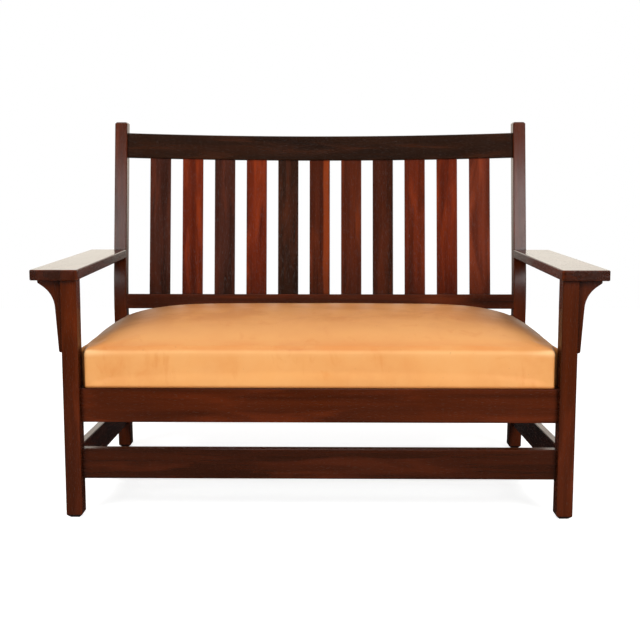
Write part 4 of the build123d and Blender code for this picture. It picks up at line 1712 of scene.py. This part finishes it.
@dataclass
class Studio:
    """A pale paper floor, soft boxes in front, above and behind, and an even room."""

    ambient: float = 0.24
    front_gloss: float = 0.01
    key_power: float = 60.0
    top_power: float = 8.0
    rear_power: float = 16.0
    key_size: float = 1.4
    sheen_powers: tuple[float, float] = (7.2, 11.6)
    sheen_size: float = 0.9
    warm_white: Light = (1.0, 0.93, 0.82, 1.0)
    paper_colour: Light = (0.8, 0.8, 0.79, 1.0)
    paper_in_gloss: Light = (0.06, 0.06, 0.06, 1.0)
    paper_shine: float = 0.78
    paper_left: float = -3.0
    paper_right: float = 3.0
    paper_near: float = -1.4
    paper_far: float = 3.2

    def floor(self) -> None:
        """Lay the paper, which gloss hardly picks up and which is clear from below."""
        material = bpy.data.materials.new("paper")
        material.use_nodes = True
        graph = Graph(material.node_tree)
        rays = graph.read("ShaderNodeLightPath")
        shown = graph.math("MAXIMUM", rays["Is Camera Ray"], rays["Is Transmission Ray"])
        below = graph.get("ShaderNodeNewGeometry", output="Backfacing")
        graph.shade({
            "Base Color": graph.blend(rays["Is Glossy Ray"], self.paper_colour,
                                      self.paper_in_gloss),
            "Roughness": 0.9, "Specular IOR Level": 0.0, "Emission Color": WHITE,
            "Emission Strength": shown * self.paper_shine, "Alpha": 1.0 - below})
        corners = np.array([(self.paper_left, self.paper_near, 0),
                            (self.paper_right, self.paper_near, 0),
                            (self.paper_right, self.paper_far, 0),
                            (self.paper_left, self.paper_far, 0)])
        mesh_piece("paper_floor", corners, [(0, 1, 2, 3)], material)

    def room(self) -> None:
        """Light the settle evenly, with white behind it and little in front of it."""
        world = bpy.data.worlds.new("room")
        bpy.context.scene.world = world
        world.use_nodes = True
        world.node_tree.nodes.clear()
        graph = Graph(world.node_tree)
        rays = graph.read("ShaderNodeLightPath")
        glossy = rays["Is Glossy Ray"]
        _, y, z = graph.get("ShaderNodeTexCoord", output="Generated").parts()
        behind = glossy * (y.step(0.0, 0.3) * z.step(-0.14, 0.02))
        seen = graph.math("MAXIMUM", rays["Is Camera Ray"], rays["Is Transmission Ray"])
        seen = graph.math("MAXIMUM", seen, behind)
        dim = 1.0 - glossy * (1.0 - self.front_gloss / self.ambient)
        plain = graph.get("ShaderNodeBackground", {
            "Color": WHITE, "Strength": dim * self.ambient})
        white = graph.get("ShaderNodeBackground", {
            "Color": graph.blend(glossy, WHITE, self.warm_white), "Strength": 1.0})
        mixed = graph.get("ShaderNodeMixShader", {0: seen, 1: plain, 2: white})
        graph.add("ShaderNodeOutputWorld", {"Surface": mixed})

    def lamps(self) -> None:
        """Hang the soft boxes."""
        boxes = [SoftBox("top_box", place=(0, -1.6, 2.9), aim=(0, 0, 0.45),
                         power=self.top_power, size=self.key_size),
                 SoftBox("rear_box", place=(0, 3.0, 1.5), aim=(0, 0, 0.6),
                         power=self.rear_power, size=self.key_size, mirrored=False)]
        for side, name, sheen in zip((-1, 1), ("left", "right"), self.sheen_powers):
            boxes += [SoftBox(f"{name}_key", place=(2.1 * side, -2.6, 2.7), aim=(0, 0, 0.75),
                              power=self.key_power, size=self.key_size, mirrored=False),
                      SoftBox(f"{name}_sheen", place=(1.5 * side, -2.3, 1.2),
                              aim=(0.6 * side, 0.2, 0.8), power=sheen, size=self.sheen_size)]
        for box in boxes:
            box.hang()

    def build(self) -> None:
        """Set up floor, room and lamps."""
        self.floor()
        self.room()
        self.lamps()
        bpy.context.scene.view_settings.view_transform = "Standard"


@dataclass
class Viewpoint:
    """Where the photograph was taken from, in metres and degrees."""

    distance: float = 2.2063
    height: float = 0.8622
    side: float = 0.0075
    pitch: float = 6.193
    turn: float = 0.594
    focal_px: float = 911.0
    centre_px: tuple[float, float] = (312.65, 272.5)
    picture_px: float = 640.0
    sensor: float = 36.0

    def build(self) -> None:
        """Set up the camera."""
        data = bpy.data.cameras.new("camera")
        data.sensor_width = self.sensor
        data.lens = self.focal_px / self.picture_px * self.sensor
        data.shift_x = 0.5 - self.centre_px[0] / self.picture_px
        data.shift_y = self.centre_px[1] / self.picture_px - 0.5
        camera = show("camera", data)
        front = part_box("front_leg_left")[0].y
        camera.location = (self.side, front - self.distance, self.height)
        camera.rotation_euler = (radians(90 - self.pitch), 0, radians(self.turn))
        bpy.context.scene.camera = camera


def main() -> None:
    """Dress the frame, build the seat and set up the studio."""
    logging.basicConfig(level=logging.INFO, format="%(name)s: %(message)s")
    form, webbing = CushionForm(), Webbing()
    for part in (WoodenFrame(), SlattedBack(), Upholstery(form), SeatCloths(form, webbing),
                 Hardware(form, webbing), Studio(), Viewpoint()):
        part.build()


if __name__ == "__main__":
    main()
